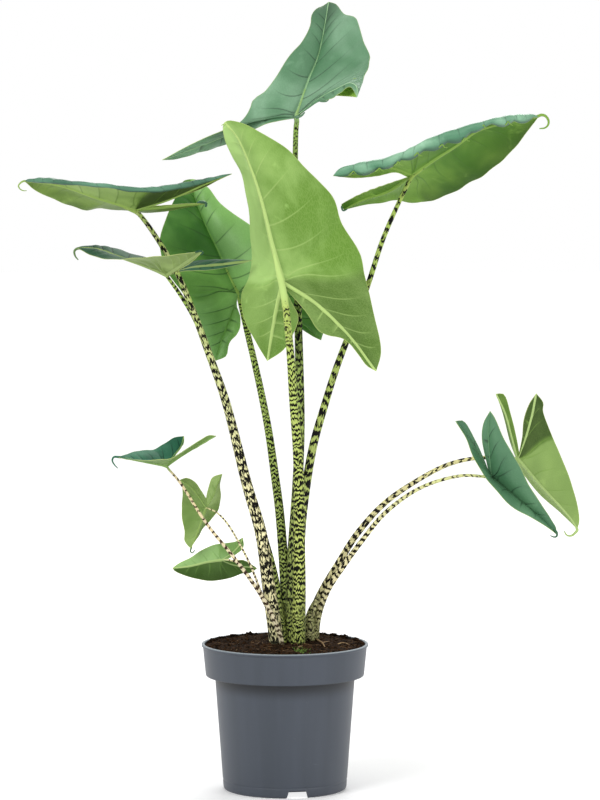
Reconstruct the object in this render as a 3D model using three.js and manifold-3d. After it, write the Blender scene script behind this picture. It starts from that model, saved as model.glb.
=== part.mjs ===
// A potted alocasia zebrina, about a metre tall: a nursery pot filled with peat, three shoots of
// striped stems that stand in holes in it, and eleven arrow-shaped leaf blades, one on each stem.
// Millimetres, +Z up, -Y the front. The pot stands on z = 0 and its axis is the Z axis.
import * as THREE from 'three';
import { ConvexGeometry } from 'three/addons/geometries/ConvexGeometry.js';
import { mergeVertices } from 'three/addons/utils/BufferGeometryUtils.js';
import Module from 'manifold-3d';

const wasm = await Module();
wasm.setup();

const FIT = 0.3; // free space between the soil and what holds it or stands in it
const SEAT_GAP = 0.35; // free space between a blade and the end of its stem

// Pot
const RIM_TOP = 185;
const RIM_RADIUS = 105;
const LIP = { height: 3, out: 1.6, bevel: 0.8 }; // the bead round the rim
const BAND_FOOT = 146;
const BAND_FOOT_RADIUS = 99.7;
const BAND_ROUND = 1.6;
const SHOULDER = 144.5; // where the body leaves the band
const SHOULDER_RADIUS = 88.3;
const RING = { height: 13, half: 1.2, depth: 0.6 }; // the shallow line round the foot
const FOOT_RADIUS = 77.5;
const FOOT_ROUND = 5;
const WALL = 2;
const FLOOR = 3;
const POT_SIDES = 44;
// Drain pockets in the underside, each with a notch through the wall and a hole up into the pot. The
// first lies `front` degrees right of the front.
const POCKET = { count: 3, front: 12, width: 66, height: 10, inner: 30, outer: 73.5, cover: 2 };
const NOTCH = { width: 28, slant: 3 };
const DRAIN = { radius: 5, ring: 48, sides: 12 };

// Soil
const SOIL_TOP = 184.4;
const SOIL_EDGE_DROP = 1.2;
const SOIL_ROUGH = 1.6; // height of the surface's crumbs and hollows
const SOIL_STANDS_OUT = 3; // how far crumbs may stand over the rim
const SOIL_RINGS = 6;
const SOIL_SECTORS = 36;

// Blades
const BLADE = 1.2; // thickness
const FULL_BOW_WIDTH = 40; // narrower than this, a half bows less
const ACROSS_LARGE = [0, 0.06, 0.4, 0.72, 1]; // shares of the way from rib to margin
const ACROSS_ROLLED = [0, 0.05, 1 / 3, 0.52, 2 / 3, 0.84, 1]; // the brow lies at 2 / 3
// Rows along the midrib, round the stem's end and along a lobe's vein, columns across a half and across a
// lobe's inner side, and how far the midrib stands out of the underside at the stem
const LARGE = { rib: 9, fan: 2, lobe: 7, across: ACROSS_LARGE, lobeAcross: [0, 0.5, 1], keel: 2.4 };
const SMALL = { rib: 7, fan: 1, lobe: 5, across: [0, 0.1, 0.55, 1], lobeAcross: [0, 1], keel: 0.8 };
const FIRST_COLUMN = 2.4; // the least distance of the first column from the midrib, where there is room
const SHOULDER_SHARE = 0.5; // share of the margin that the rows along the midrib reach
const HEEL_SHARE = 0.64; // and that the rows fanning out from the stem's end reach

// Stems
const STEM_SIDES = 8;
const STEM_RINGS = 9; // the fewest rings along a stem
const STEM_RING_GAP = 38;
const STEM_TAPER = 1.25;
const SEAT_SIZE = 5; // a stem's end is cut to the blade this far round it, and more for a thick stem
const SEAT_SHARE = 3.4;
const FOOT_DEPTH = 70; // how deep a shoot's common foot goes into the soil
const FOOT_RISE = 14; // how far it stands out of it
const FOOT_TAPER = 0.8;
const FOOT_SIDES = 16;
const ROOT_DEPTH = 22; // where the stems leave the common foot
const ROOT_SPREAD = 0.25;

// Leaf blades. `rib` runs from the stem's end to the drip tip. Each half, first the left one as the upper
// face is seen with its tip up, has its margin from the drip tip to the lobe's tip, the lobe's vein, the
// inner edge from the cleft to the lobe's tip and, where the margin is rolled, the brow it rolls over.
const LEAVES = {
  top: {
    rows: LARGE, colour: 0x6f9a86, puff: 5, wave: 2.0, waves: 7,
    rib: [[14, 60, 847], [29, 92, 890], [42, 124, 922], [51, 158, 963], [56, 172, 993]],
    halves: [
      {
        margin: [
          [49, 166, 988], [40, 158, 984], [34, 150, 976], [32, 138, 963], [22, 112, 942], [6, 92, 924],
          [-14, 70, 893], [-26, 62, 878], [-40, 56, 868], [-45, 46, 855], [-55, 34, 841], [-79, 22, 829],
          [-112, 8, 815], [-153, -4, 793],
        ],
        vein: [[-29, 58, 845], [-79, 36, 821]],
        inner: [
          [11, 60, 844], [-18, 48, 839], [-38, 48, 831], [-77, 48, 811], [-110, 30, 801],
          [-135, 12, 794],
        ],
      },
      {
        margin: [
          [65, 162, 990], [76, 146, 977], [90, 130, 972], [94, 123, 963], [100, 98, 941], [107, 84, 925],
          [107, 70, 915], [99, 40, 894], [90, 4, 871],
        ],
        vein: [[42, 46, 866], [73, 18, 876]],
        inner: [[27, 56, 855], [42, 44, 866], [58, 27, 869], [76, 10, 874]],
      },
    ],
  },
  front: {
    rows: LARGE, colour: 0x8cbf58, puff: 5, wave: 1.6, waves: 6,
    rib: [
      [-3, -50, 643], [-16, -46, 689], [-27, -38, 735], [-39, -26, 774], [-59, -12, 821], [-75, -4, 840],
    ],
    halves: [
      {
        margin: [
          [-71, -2, 842], [-61, 4, 841], [-49, 10, 837], [-34, 14, 829], [1, 22, 808], [23, 25, 785],
          [43, 26, 766], [61, 25, 744], [71, 22, 715], [95, 10, 673], [100, 4, 650], [108, -8, 615],
          [120, -28, 555], [114, -36, 531],
        ],
        vein: [[38, -50, 617], [79, -44, 577]],
        inner: [
          [-1, -49, 637], [29, -44, 602], [41, -41, 583], [54, -40, 576], [74, -38, 571], [90, -38, 554],
          [102, -38, 538],
        ],
      },
      {
        margin: [
          [-77, -2, 835], [-77, 2, 829], [-74, 9, 815], [-67, 16, 800], [-55, 32, 775], [-48, 40, 746],
          [-45, 42, 719], [-42, 40, 675], [-45, 34, 644], [-55, 24, 623], [-51, 16, 594], [-35, 10, 562],
          [-22, 6, 541],
        ],
        vein: [[-10, -28, 613], [-17, -6, 574]],
        inner: [[-1, -49, 637], [7, -34, 620], [17, -20, 597], [11, -12, 577], [-2, 0, 555]],
      },
    ],
  },
  left: {
    rows: LARGE, colour: 0x5f8f5a, puff: 4, wave: 1.2, waves: 7,
    rib: [
      [-186, -10, 731], [-209, -17, 739], [-235, -25, 747], [-278, -40, 762], [-319, -50, 768],
      [-327, -52, 764], [-322, -52, 757],
    ],
    halves: [
      {
        margin: [
          [-328, -54, 762], [-326, -56, 767], [-300, -72, 766], [-262, -92, 764], [-220, -100, 761],
          [-187, -98, 756], [-159, -92, 755], [-112, -72, 762], [-65, -54, 777],
        ],
        brow: [
          [-324, -56, 769], [-300, -74, 771], [-262, -94, 768], [-220, -102, 765], [-187, -100, 761],
          [-159, -94, 761], [-111, -74, 768],
        ],
        vein: [[-142, -30, 745], [-99, -44, 764]],
        inner: [[-182, -11, 733], [-151, -24, 743], [-122, -36, 751], [-99, -45, 760], [-82, -50, 769]],
      },
      {
        margin: [
          [-319, -48, 760], [-312, -38, 757], [-285, -8, 743], [-269, 10, 736], [-252, 26, 730],
          [-231, 46, 731], [-193, 60, 727], [-165, 72, 725], [-133, 78, 730], [-100, 80, 736],
        ],
        vein: [[-159, 26, 732], [-129, 58, 734]],
        inner: [[-182, -11, 733], [-166, 12, 735], [-142, 44, 736], [-119, 66, 737]],
      },
    ],
  },
  right: {
    rows: LARGE, colour: 0x5f8f5a, puff: 4, wave: 1.8, waves: 9,
    rib: [
      [159, 20, 774], [186, 16, 793], [214, 12, 811], [240, 8, 829], [284, 5, 841], [316, 4, 848],
      [326, 4, 843], [317, 4, 833],
    ],
    halves: [
      {
        margin: [
          [320, 6, 835], [310, 12, 839], [298, 34, 819], [283, 50, 800], [252, 68, 773], [233, 76, 762],
          [206, 82, 747], [169, 86, 737], [142, 90, 740], [122, 92, 737], [95, 92, 733], [75, 88, 728],
        ],
        vein: [[133, 50, 753], [100, 72, 741]],
        inner: [[154, 20, 771], [131, 36, 763], [100, 60, 751], [81, 78, 741], [71, 84, 734]],
      },
      {
        margin: [
          [327, 3, 835], [330, 2, 844], [311, -6, 842], [275, -24, 837], [246, -36, 834],
          [223, -42, 820], [193, -50, 810], [165, -54, 800], [138, -54, 789], [102, -50, 777],
          [60, -42, 774],
        ],
        brow: [
          [330, 3, 847], [312, -2, 849], [284, -22, 848], [256, -36, 843], [228, -46, 836],
          [184, -56, 822], [145, -58, 803], [118, -58, 793], [92, -54, 789], [68, -46, 782],
        ],
        vein: [[129, 2, 785], [94, -22, 782]],
        inner: [[154, 20, 771], [139, 10, 777], [116, -6, 773], [87, -26, 771]],
      },
    ],
  },
  low: {
    rows: LARGE, colour: 0x55846a, puff: 4, wave: 1.0, waves: 6,
    rib: [
      [-147, -8, 650], [-173, 4, 660], [-205, 22, 670], [-236, 40, 680], [-259, 48, 682],
      [-265, 50, 677], [-262, 50, 667],
    ],
    halves: [
      {
        margin: [
          [-266, 46, 671], [-265, 44, 678], [-244, 24, 673], [-220, -2, 669], [-196, -28, 671],
          [-167, -52, 674], [-140, -70, 677], [-120, -82, 680], [-100, -90, 683],
        ],
        vein: [[-130, -36, 662], [-112, -66, 675]],
        inner: [[-142, -9, 651], [-130, -26, 658], [-116, -54, 667]],
      },
      {
        margin: [
          [-263, 52, 678], [-264, 54, 682], [-251, 60, 683], [-235, 68, 682], [-217, 74, 679],
          [-201, 76, 674], [-178, 74, 668], [-146, 68, 663], [-109, 52, 665], [-75, 34, 667],
          [-41, 14, 667],
        ],
        vein: [[-119, 8, 658], [-81, 14, 662]],
        inner: [[-142, -9, 651], [-127, -2, 654], [-93, 10, 655], [-64, 14, 660]],
      },
    ],
  },
  back: {
    rows: LARGE, colour: 0x41803f, puff: 5, wave: 1.6, waves: 7,
    rib: [
      [-60, 112, 620], [-72, 124, 643], [-84, 134, 669], [-103, 148, 707], [-116, 160, 739],
      [-123, 170, 765],
    ],
    halves: [
      {
        margin: [
          [-131, 168, 763], [-143, 146, 739], [-152, 130, 718], [-160, 118, 692], [-159, 112, 671],
          [-153, 107, 652], [-143, 103, 637], [-129, 98, 619], [-116, 94, 587], [-101, 88, 553],
          [-88, 84, 536],
        ],
        vein: [[-70, 102, 589], [-81, 92, 562]],
        inner: [
          [-62, 112, 615], [-62, 108, 605], [-57, 98, 590], [-59, 92, 573], [-71, 88, 558],
          [-75, 84, 542],
        ],
      },
      {
        margin: [
          [-117, 168, 765], [-100, 162, 755], [-83, 152, 734], [-45, 138, 707], [-9, 122, 683],
          [22, 108, 653], [42, 98, 618], [52, 90, 588], [46, 84, 562],
        ],
        vein: [[-19, 100, 605], [19, 90, 585]],
        inner: [[-58, 112, 613], [-30, 104, 605], [1, 94, 590], [24, 87, 574], [37, 85, 566]],
      },
    ],
  },
  small_high: {
    rows: SMALL, colour: 0x3f7f68, puff: 2, wave: 0.8, waves: 5,
    rib: [
      [-147, -30, 412], [-168, -32, 416], [-193, -36, 421], [-209, -38, 424], [-214, -38, 419],
      [-209, -38, 410],
    ],
    halves: [
      {
        margin: [
          [-215, -40, 414], [-214, -40, 424], [-195, -50, 422], [-176, -60, 422], [-157, -64, 423],
          [-138, -64, 426], [-121, -62, 437], [-105, -60, 447], [-94, -58, 453], [-85, -56, 452],
        ],
        vein: [[-128, -42, 426], [-106, -52, 440]],
        inner: [[-145, -30, 413], [-122, -40, 429], [-105, -46, 439]],
      },
      {
        margin: [
          [-209, -35, 418], [-211, -34, 426], [-202, -28, 424], [-184, -8, 429], [-164, 4, 430],
          [-151, 9, 437], [-139, 12, 444], [-127, 10, 446],
        ],
        vein: [[-139, -14, 423], [-130, 0, 434]],
        inner: [[-145, -30, 413], [-136, -18, 426], [-127, -2, 438]],
      },
    ],
  },
  small_mid: {
    rows: SMALL, colour: 0x5f8f3f, puff: 2, wave: 0.8, waves: 5,
    rib: [
      [-99, -6, 357], [-104, -12, 342], [-111, -20, 323], [-118, -24, 307], [-117, -24, 303],
      [-113, -24, 305],
    ],
    halves: [
      {
        margin: [
          [-118, -22, 302], [-123, -20, 307], [-126, -14, 317], [-126, -4, 328], [-129, 3, 339],
          [-130, 10, 355], [-129, 14, 372], [-130, 14, 384], [-133, 14, 390],
        ],
        vein: [[-109, 2, 371], [-122, 10, 384]],
        inner: [[-99, -4, 369], [-106, 4, 379], [-113, 10, 388], [-124, 14, 393]],
      },
      {
        margin: [
          [-114, -26, 307], [-115, -25, 312], [-109, -16, 321], [-102, -6, 332], [-91, 7, 343],
          [-84, 16, 353], [-81, 20, 367], [-82, 20, 383], [-79, 14, 398],
        ],
        vein: [[-90, 4, 372], [-84, 12, 388]],
        inner: [[-99, -4, 369], [-96, 6, 382], [-91, 12, 394]],
      },
    ],
  },
  small_low: {
    rows: SMALL, colour: 0x5f8f3f, puff: 2, wave: 0.6, waves: 4,
    rib: [[-79, -14, 292], [-96, -16, 290], [-119, -20, 285], [-141, -24, 283]],
    halves: [
      {
        margin: [
          [-134, -20, 288], [-118, -10, 295], [-103, -1, 304], [-89, 5, 309], [-74, 8, 311],
          [-62, 8, 313], [-53, 8, 318],
        ],
        vein: [[-68, -4, 298], [-58, 4, 308]],
        inner: [[-74, -13, 292], [-63, -4, 297], [-52, 6, 306]],
      },
      {
        margin: [
          [-138, -22, 279], [-117, -8, 269], [-98, 2, 264], [-81, 8, 264], [-67, 12, 267],
          [-53, 12, 272], [-43, 10, 273], [-35, 8, 279],
        ],
        vein: [[-63, -2, 284], [-49, 6, 281]],
        inner: [[-74, -13, 292], [-62, -6, 291], [-52, 2, 290], [-42, 8, 284]],
      },
    ],
  },
  small_right: {
    rows: SMALL, colour: 0x2f6a48, puff: 3, wave: 0.8, waves: 5,
    rib: [
      [258, -40, 399], [272, -42, 388], [293, -46, 371], [319, -52, 349], [337, -58, 332],
      [334, -58, 326],
    ],
    halves: [
      {
        margin: [
          [337, -56, 326], [339, -56, 335], [332, -56, 347], [321, -58, 364], [304, -62, 390],
          [289, -64, 420], [273, -62, 447], [260, -56, 476], [255, -52, 483],
        ],
        vein: [[255, -46, 427], [253, -50, 456]],
        inner: [[255, -40, 404], [250, -44, 423], [245, -48, 449], [247, -50, 468]],
      },
      {
        margin: [
          [330, -60, 328], [333, -62, 335], [306, -62, 351], [285, -64, 362], [263, -64, 384],
          [250, -62, 400], [235, -58, 424], [225, -54, 449], [212, -50, 470],
        ],
        vein: [[244, -44, 425], [229, -46, 449]],
        inner: [[255, -40, 404], [248, -42, 422], [237, -44, 446], [222, -46, 470]],
      },
    ],
  },
  tall_right: {
    rows: SMALL, colour: 0x7fae62, puff: 3, wave: 0.8, waves: 5,
    rib: [
      [292, -6, 419], [304, -8, 405], [321, -12, 385], [342, -18, 363], [359, -24, 344], [366, -24, 331],
      [358, -24, 326],
    ],
    halves: [
      {
        margin: [
          [362, -20, 327], [363, -20, 334], [347, -4, 350], [331, 10, 363], [308, 20, 387],
          [290, 22, 420], [281, 22, 449], [272, 18, 482], [265, 14, 499],
        ],
        vein: [[285, 4, 445], [277, 10, 474]],
        inner: [[294, -5, 426], [291, 4, 445], [284, 10, 474], [275, 14, 499]],
      },
      {
        margin: [
          [364, -24, 327], [370, -20, 337], [366, -6, 366], [355, 8, 402], [339, 16, 440],
          [325, 16, 477], [325, 14, 488], [316, 10, 500],
        ],
        vein: [[303, 2, 446], [311, 8, 473]],
        inner: [[294, -5, 426], [298, 2, 446], [300, 6, 467], [307, 8, 487]],
      },
    ],
  },
};

// Shoots. Each has its buried foot and, for each leaf it carries, the stem's route up to the blade.
const SHOOTS = {
  left: {
    foot: [-10, 1, 179],
    radius: 9.6,
    stems: {
      left: {
        thick: 9.8, thin: 2.8,
        route: [
          [-11, -1, 188], [-21, -1, 261], [-30, -2, 324], [-47, -4, 384], [-75, -6, 494], [-96, -8, 554],
          [-114, -9, 603], [-132, -10, 647], [-148, -10, 677], [-170, -10, 711], [-182, -11, 726],
        ],
      },
      low: {
        thick: 6, thin: 2.2,
        route: [
          [-9, 5, 187], [-13, 6, 239], [-16, 7, 272], [-29, 7, 323], [-48, 5, 383], [-76, 2, 493],
          [-96, 0, 554], [-114, -2, 596], [-133, -5, 628], [-145, -9, 645],
        ],
      },
      small_high: {
        thick: 3.4, thin: 1.5,
        route: [
          [-4, -7, 184], [-15, -14, 220], [-29, -20, 247], [-59, -28, 291], [-97, -32, 339],
          [-132, -31, 393], [-145, -30, 408],
        ],
      },
      small_mid: {
        thick: 2.4, thin: 1.0,
        route: [
          [-7, -5, 188], [-16, -10, 219], [-29, -14, 249], [-42, -16, 283], [-56, -14, 311],
          [-73, -12, 339], [-86, -11, 352], [-95, -9, 356],
        ],
      },
      small_low: {
        thick: 2.2, thin: 1.1,
        route: [
          [-10, 0, 188], [-21, -5, 225], [-36, -10, 255], [-49, -14, 276], [-61, -19, 290],
          [-74, -18, 293],
        ],
      },
    },
  },
  centre: {
    foot: [13, 4, 178],
    radius: 12.2,
    stems: {
      front: {
        thick: 9.5, thin: 4.2,
        route: [
          [16, -2, 187], [18, -5, 247], [18, -8, 308], [18, -12, 370], [16, -18, 431], [11, -28, 493],
          [7, -42, 554], [3, -53, 596], [-1, -58, 628], [-3, -56, 638],
        ],
      },
      top: {
        thick: 9.0, thin: 3.2,
        route: [
          [10, 8, 187], [9, 10, 245], [11, 12, 305], [15, 15, 367], [18, 20, 428], [19, 25, 465],
          [18, 35, 540], [16, 46, 613], [13, 60, 716], [13, 68, 792], [14, 68, 832], [15, 65, 842],
        ],
      },
      back: {
        thick: 7.4, thin: 3.7,
        route: [
          [4, 15, 186], [1, 16, 244], [-3, 18, 305], [-7, 24, 351], [-13, 33, 396], [-20, 46, 444],
          [-28, 60, 486], [-38, 80, 530], [-49, 104, 574], [-56, 118, 604], [-58, 119, 613],
        ],
      },
      right: {
        thick: 8.0, thin: 2.6,
        route: [
          [18, 12, 186], [18, 15, 263], [20, 18, 326], [25, 20, 371], [36, 24, 434], [49, 26, 480],
          [64, 28, 528], [103, 30, 631], [123, 29, 692], [143, 24, 739], [156, 19, 766],
        ],
      },
    },
  },
  right: {
    foot: [35, 30, 178],
    radius: 8,
    stems: {
      small_right: {
        thick: 5.0, thin: 1.8,
        route: [
          [38, 30, 183], [42, 26, 216], [54, 20, 250], [75, 12, 283], [96, 4, 313], [126, -8, 351],
          [170, -22, 384], [220, -32, 400], [253, -38, 399],
        ],
      },
      tall_right: {
        thick: 6.2, thin: 2.1,
        route: [
          [32, 30, 183], [35, 30, 210], [39, 30, 229], [49, 28, 251], [67, 24, 282], [91, 20, 321],
          [125, 14, 360], [168, 8, 391], [206, 4, 411], [239, 0, 419], [270, -3, 420], [289, -6, 419],
        ],
      },
    },
  },
};

const TURN = 2 * Math.PI;
const toVector = ([x, y, z]) => new THREE.Vector3(x, y, z);
const curveThrough = (points) => new THREE.CatmullRomCurve3(points, false, 'centripetal');
const joined = (solids) => solids.reduce((all, solid) => all.add(solid));

function geometryFrom(points, faces) {
  const geometry = new THREE.BufferGeometry().setFromPoints(points);
  geometry.setIndex(faces.flat());
  return geometry;
}

// A solid to join and cut, from a closed geometry. Corners that meet are merged, and faces that
// shrink to a line on an axis are left out.
function toSolid(geometry) {
  const bare = geometry.clone();
  for (const name of ['normal', 'uv']) bare.deleteAttribute(name);
  const { index, attributes } = mergeVertices(bare, 1e-3);
  const triVerts = [];
  for (let i = 0; i < index.count; i += 3) {
    const face = [index.getX(i), index.getX(i + 1), index.getX(i + 2)];
    if (new Set(face).size === 3) triVerts.push(...face);
  }
  return new wasm.Manifold(new wasm.Mesh({
    numProp: 3,
    vertProperties: new Float32Array(attributes.position.array),
    triVerts: new Uint32Array(triVerts),
  }));
}

function toGeometry(solid) {
  const { vertProperties, triVerts } = solid.getMesh();
  const geometry = new THREE.BufferGeometry();
  geometry.setAttribute('position', new THREE.BufferAttribute(new Float32Array(vertProperties), 3));
  geometry.setIndex([...triVerts]);
  return geometry;
}

// The biggest connected body, without scraps that a cut has left loose.
function mainBody(solid) {
  return solid.decompose().reduce((best, part) => (part.volume() > best.volume() ? part : best));
}

// Pot

function turned(profile) {
  const points = profile.map(([radius, height]) => new THREE.Vector2(radius, height));
  return new THREE.LatheGeometry(points, POT_SIDES).rotateX(TURN / 4);
}

function upright(lowRadius, topRadius, height, sides) {
  return new THREE.CylinderGeometry(topRadius, lowRadius, height, sides).rotateX(TURN / 4);
}

function roundFoot(steps) {
  return Array.from({ length: steps + 1 }, (_, i) => {
    const angle = (i / steps) * (TURN / 4);
    return [FOOT_RADIUS - FOOT_ROUND * (1 - Math.sin(angle)), FOOT_ROUND * (1 - Math.cos(angle))];
  });
}

// The outer line of the pot from its axis at the foot up to the lip.
function potOutline() {
  const wallAt = (height) => THREE.MathUtils.mapLinear(height, 0, SHOULDER, FOOT_RADIUS, SHOULDER_RADIUS);
  return [
    [0, 0],
    ...roundFoot(4),
    [wallAt(RING.height - RING.half), RING.height - RING.half],
    [wallAt(RING.height) - RING.depth, RING.height],
    [wallAt(RING.height + RING.half), RING.height + RING.half],
    [SHOULDER_RADIUS, SHOULDER],
    [BAND_FOOT_RADIUS - BAND_ROUND, SHOULDER],
    [BAND_FOOT_RADIUS, BAND_FOOT + BAND_ROUND / 2],
    [RIM_RADIUS - LIP.out, RIM_TOP - LIP.height - LIP.bevel],
    [RIM_RADIUS, RIM_TOP - LIP.height],
    [RIM_RADIUS, RIM_TOP - LIP.bevel],
    [RIM_RADIUS - LIP.bevel, RIM_TOP],
    [0, RIM_TOP],
  ];
}

// The hollow of the pot, drawn in by `inset` all round and going on `over` above the rim.
function potHollow(inset, over) {
  const wall = WALL + inset;
  return toSolid(turned([
    [0, FLOOR + inset],
    [FOOT_RADIUS - FOOT_ROUND - inset, FLOOR + inset],
    [FOOT_RADIUS - wall, FOOT_ROUND + 1 + inset],
    [SHOULDER_RADIUS - wall, SHOULDER + 1 + inset],
    [BAND_FOOT_RADIUS - wall - 1, BAND_FOOT + 3 + inset],
    [RIM_RADIUS - wall - LIP.out, RIM_TOP + over],
    [0, RIM_TOP + over],
  ]));
}

// Turns a geometry that lies along +X to drain pocket `index`.
function toPocket(geometry, index) {
  return geometry.rotateZ((POCKET.front / 360 - 1 / 4 + index / POCKET.count) * TURN);
}

// A block under the floor that runs outwards along pocket `index`, from `start` to `end`, with its
// sides leaning in by `slant`.
function underBlock(index, start, end, width, height, slant) {
  const outline = new THREE.Shape([
    [-width / 2, -1], [width / 2, -1], [width / 2 - slant, height], [slant - width / 2, height],
  ].map(([x, y]) => new THREE.Vector2(x, y)));
  const block = new THREE.ExtrudeGeometry(outline, { depth: end - start, bevelEnabled: false });
  return toSolid(toPocket(block.rotateX(TURN / 4).rotateZ(TURN / 4).translate(start, 0, 0), index));
}

// The space of a drain pocket, `grow` larger on every side.
function pocketSpace(index, grow) {
  const { width, height, inner, outer } = POCKET;
  const block = underBlock(index, inner - grow, FOOT_RADIUS, width + 2 * grow, height + grow, 0);
  return block.intersect(toSolid(upright(outer + grow, outer + grow, 4 * height, POT_SIDES)));
}

const pockets = Array.from({ length: POCKET.count }, (_, i) => i);

function makePot() {
  const outside = toSolid(turned(potOutline()));
  const covers = joined(pockets.map((i) => pocketSpace(i, POCKET.cover))).intersect(outside);
  const drain = upright(DRAIN.radius, DRAIN.radius, 4 * POCKET.height, DRAIN.sides)
    .translate(DRAIN.ring, 0, 0);
  const cuts = pockets.flatMap((i) => [
    pocketSpace(i, 0),
    underBlock(i, POCKET.outer - WALL, FOOT_RADIUS + WALL, NOTCH.width, POCKET.height, NOTCH.slant),
    toSolid(toPocket(drain.clone(), i)),
  ]);
  return toGeometry(outside.subtract(potHollow(0, 1)).add(covers).subtract(joined(cuts)));
}

// Soil

// Crumbs and hollows of the peat's surface: long, middling and short waves that cross.
function crumbHeight(x, y) {
  const long = Math.sin(0.21 * x + 1.3 * Math.sin(0.17 * y));
  const middling = Math.sin(0.37 * y - 0.9 * Math.cos(0.31 * x));
  const short = Math.sin(0.83 * x + 0.71 * y);
  return SOIL_ROUGH * (0.5 * long + 0.3 * middling + 0.2 * short);
}

// The space under the peat's surface, wider than the pot and down to z = 0.
function underSurface() {
  const points = [new THREE.Vector3(0, 0, SOIL_TOP)];
  const faces = [];
  const at = (ring, sector) => (ring === 0 ? 0 : 1 + (ring - 1) * SOIL_SECTORS + (sector % SOIL_SECTORS));
  for (let ring = 1; ring <= SOIL_RINGS; ring += 1) {
    const share = ring / SOIL_RINGS;
    for (let s = 0; s < SOIL_SECTORS; s += 1) {
      const angle = ((s + 0.5 * (ring % 2)) / SOIL_SECTORS) * TURN;
      const [x, y] = [Math.cos(angle), Math.sin(angle)].map((c) => RIM_RADIUS * share * c);
      points.push(new THREE.Vector3(x, y, SOIL_TOP - SOIL_EDGE_DROP * share ** 3 + crumbHeight(x, y)));
    }
  }
  const foot = points.length;
  points.push(new THREE.Vector3(0, 0, 0), ...points.slice(at(SOIL_RINGS, 0)).map((p) => p.clone().setZ(0)));
  for (let s = 0; s < SOIL_SECTORS; s += 1) {
    const next = (s + 1) % SOIL_SECTORS;
    faces.push([0, at(1, s), at(1, next)]);
    for (let ring = 1; ring < SOIL_RINGS; ring += 1) {
      const [a, b, c, d] = [at(ring, s), at(ring + 1, s), at(ring + 1, next), at(ring, next)];
      faces.push([a, b, c], [a, c, d]);
    }
    const [a, b, c, d] = [at(SOIL_RINGS, s), at(SOIL_RINGS, next), foot + 1 + s, foot + 1 + next];
    faces.push([a, c, d], [a, d, b], [foot, d, c]);
  }
  return toSolid(geometryFrom(points, faces));
}

function makeSoil() {
  const covers = pockets.map((i) => pocketSpace(i, POCKET.cover + FIT));
  const holes = Object.values(SHOOTS).map((shoot) => shootSolid(shoot, FIT));
  const filling = potHollow(FIT, SOIL_STANDS_OUT).intersect(underSurface());
  return toGeometry(mainBody(filling.subtract(joined([...covers, ...holes]))));
}

// Leaf blades

// Rows of one half of a blade, each from the midrib, the stem's end or the lobe's vein out to the margin.
function outerRows(leaf, half) {
  const { rib: ribRows, fan: fanRows, lobe: lobeRows } = leaf.rows;
  const rib = curveThrough(leaf.rib.map(toVector));
  const end = toVector(leaf.rib[0]);
  const tip = toVector(leaf.rib.at(-1));
  const lobeTip = toVector(half.margin.at(-1));
  const margin = curveThrough([tip, ...half.margin.map(toVector)]);
  const brow = half.brow && curveThrough([tip, ...half.brow.map(toVector), lobeTip]);
  const vein = curveThrough([end, ...half.vein.map(toVector), lobeTip]);
  const rows = [];
  const addRow = (spine, share, ridge) => rows.push({
    spine, share, ridge, margin: margin.getPointAt(share), brow: brow && brow.getPointAt(share),
  });
  for (let i = 0; i <= ribRows; i += 1) {
    addRow(rib.getPointAt(1 - i / ribRows), (SHOULDER_SHARE * i) / ribRows, i / ribRows);
  }
  for (let i = 1; i <= fanRows; i += 1) {
    addRow(end.clone(), THREE.MathUtils.lerp(SHOULDER_SHARE, HEEL_SHARE, i / fanRows), 1);
  }
  for (let i = 1; i <= lobeRows; i += 1) {
    const out = i / lobeRows;
    addRow(vein.getPointAt(out), THREE.MathUtils.lerp(HEEL_SHARE, 1, out), 0.8 * (1 - out));
  }
  return rows;
}

// Rows of the lobe's inner side, each from the lobe's vein to the edge of the cleft.
function innerRows(half, outer, count) {
  const cleft = curveThrough([...half.inner.map(toVector), toVector(half.margin.at(-1))]);
  return outer.slice(-count - 1).map(({ spine, ridge }, i) => ({
    spine, ridge, share: i / count, margin: cleft.getPointAt(i / count),
  }));
}

// Points across a row: bowed by `puff` except where the two halves meet, turned over at a rolled
// brow, and waved at the edge. `turn` says on which side of the row the upper face lies. A row that
// runs almost along its neighbours bows and waves less, and a narrow one has its first point further out.
function acrossRow({ spine, margin, brow, share }, next, columns, leaf, turn) {
  const width = spine.distanceTo(margin);
  if (width < 0.01) return columns.map(() => spine.clone());
  const along = next.spine.clone().add(next.margin).sub(spine).sub(margin);
  const lift = margin.clone().sub(spine).cross(along).multiplyScalar(turn / (width * along.length() || 1));
  const bow = share > 0 ? leaf.puff * Math.min(1, width / FULL_BOW_WIDTH) : 0;
  const belly = spine.clone().lerp(brow ?? margin, 0.5).addScaledVector(lift, bow);
  const section = curveThrough(brow ? [spine, belly, brow, margin] : [spine, belly, margin]);
  const wave = leaf.wave * Math.sin(Math.PI * share) * Math.sin(TURN * leaf.waves * share + turn);
  const first = Math.min(FIRST_COLUMN / width, columns[2] ? 0.6 * columns[2] : 1);
  return columns.map((out, i) => {
    const place = i === 1 ? Math.max(out, first) : out;
    return section.getPoint(place).addScaledVector(lift, wave * place ** 3);
  });
}

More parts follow.
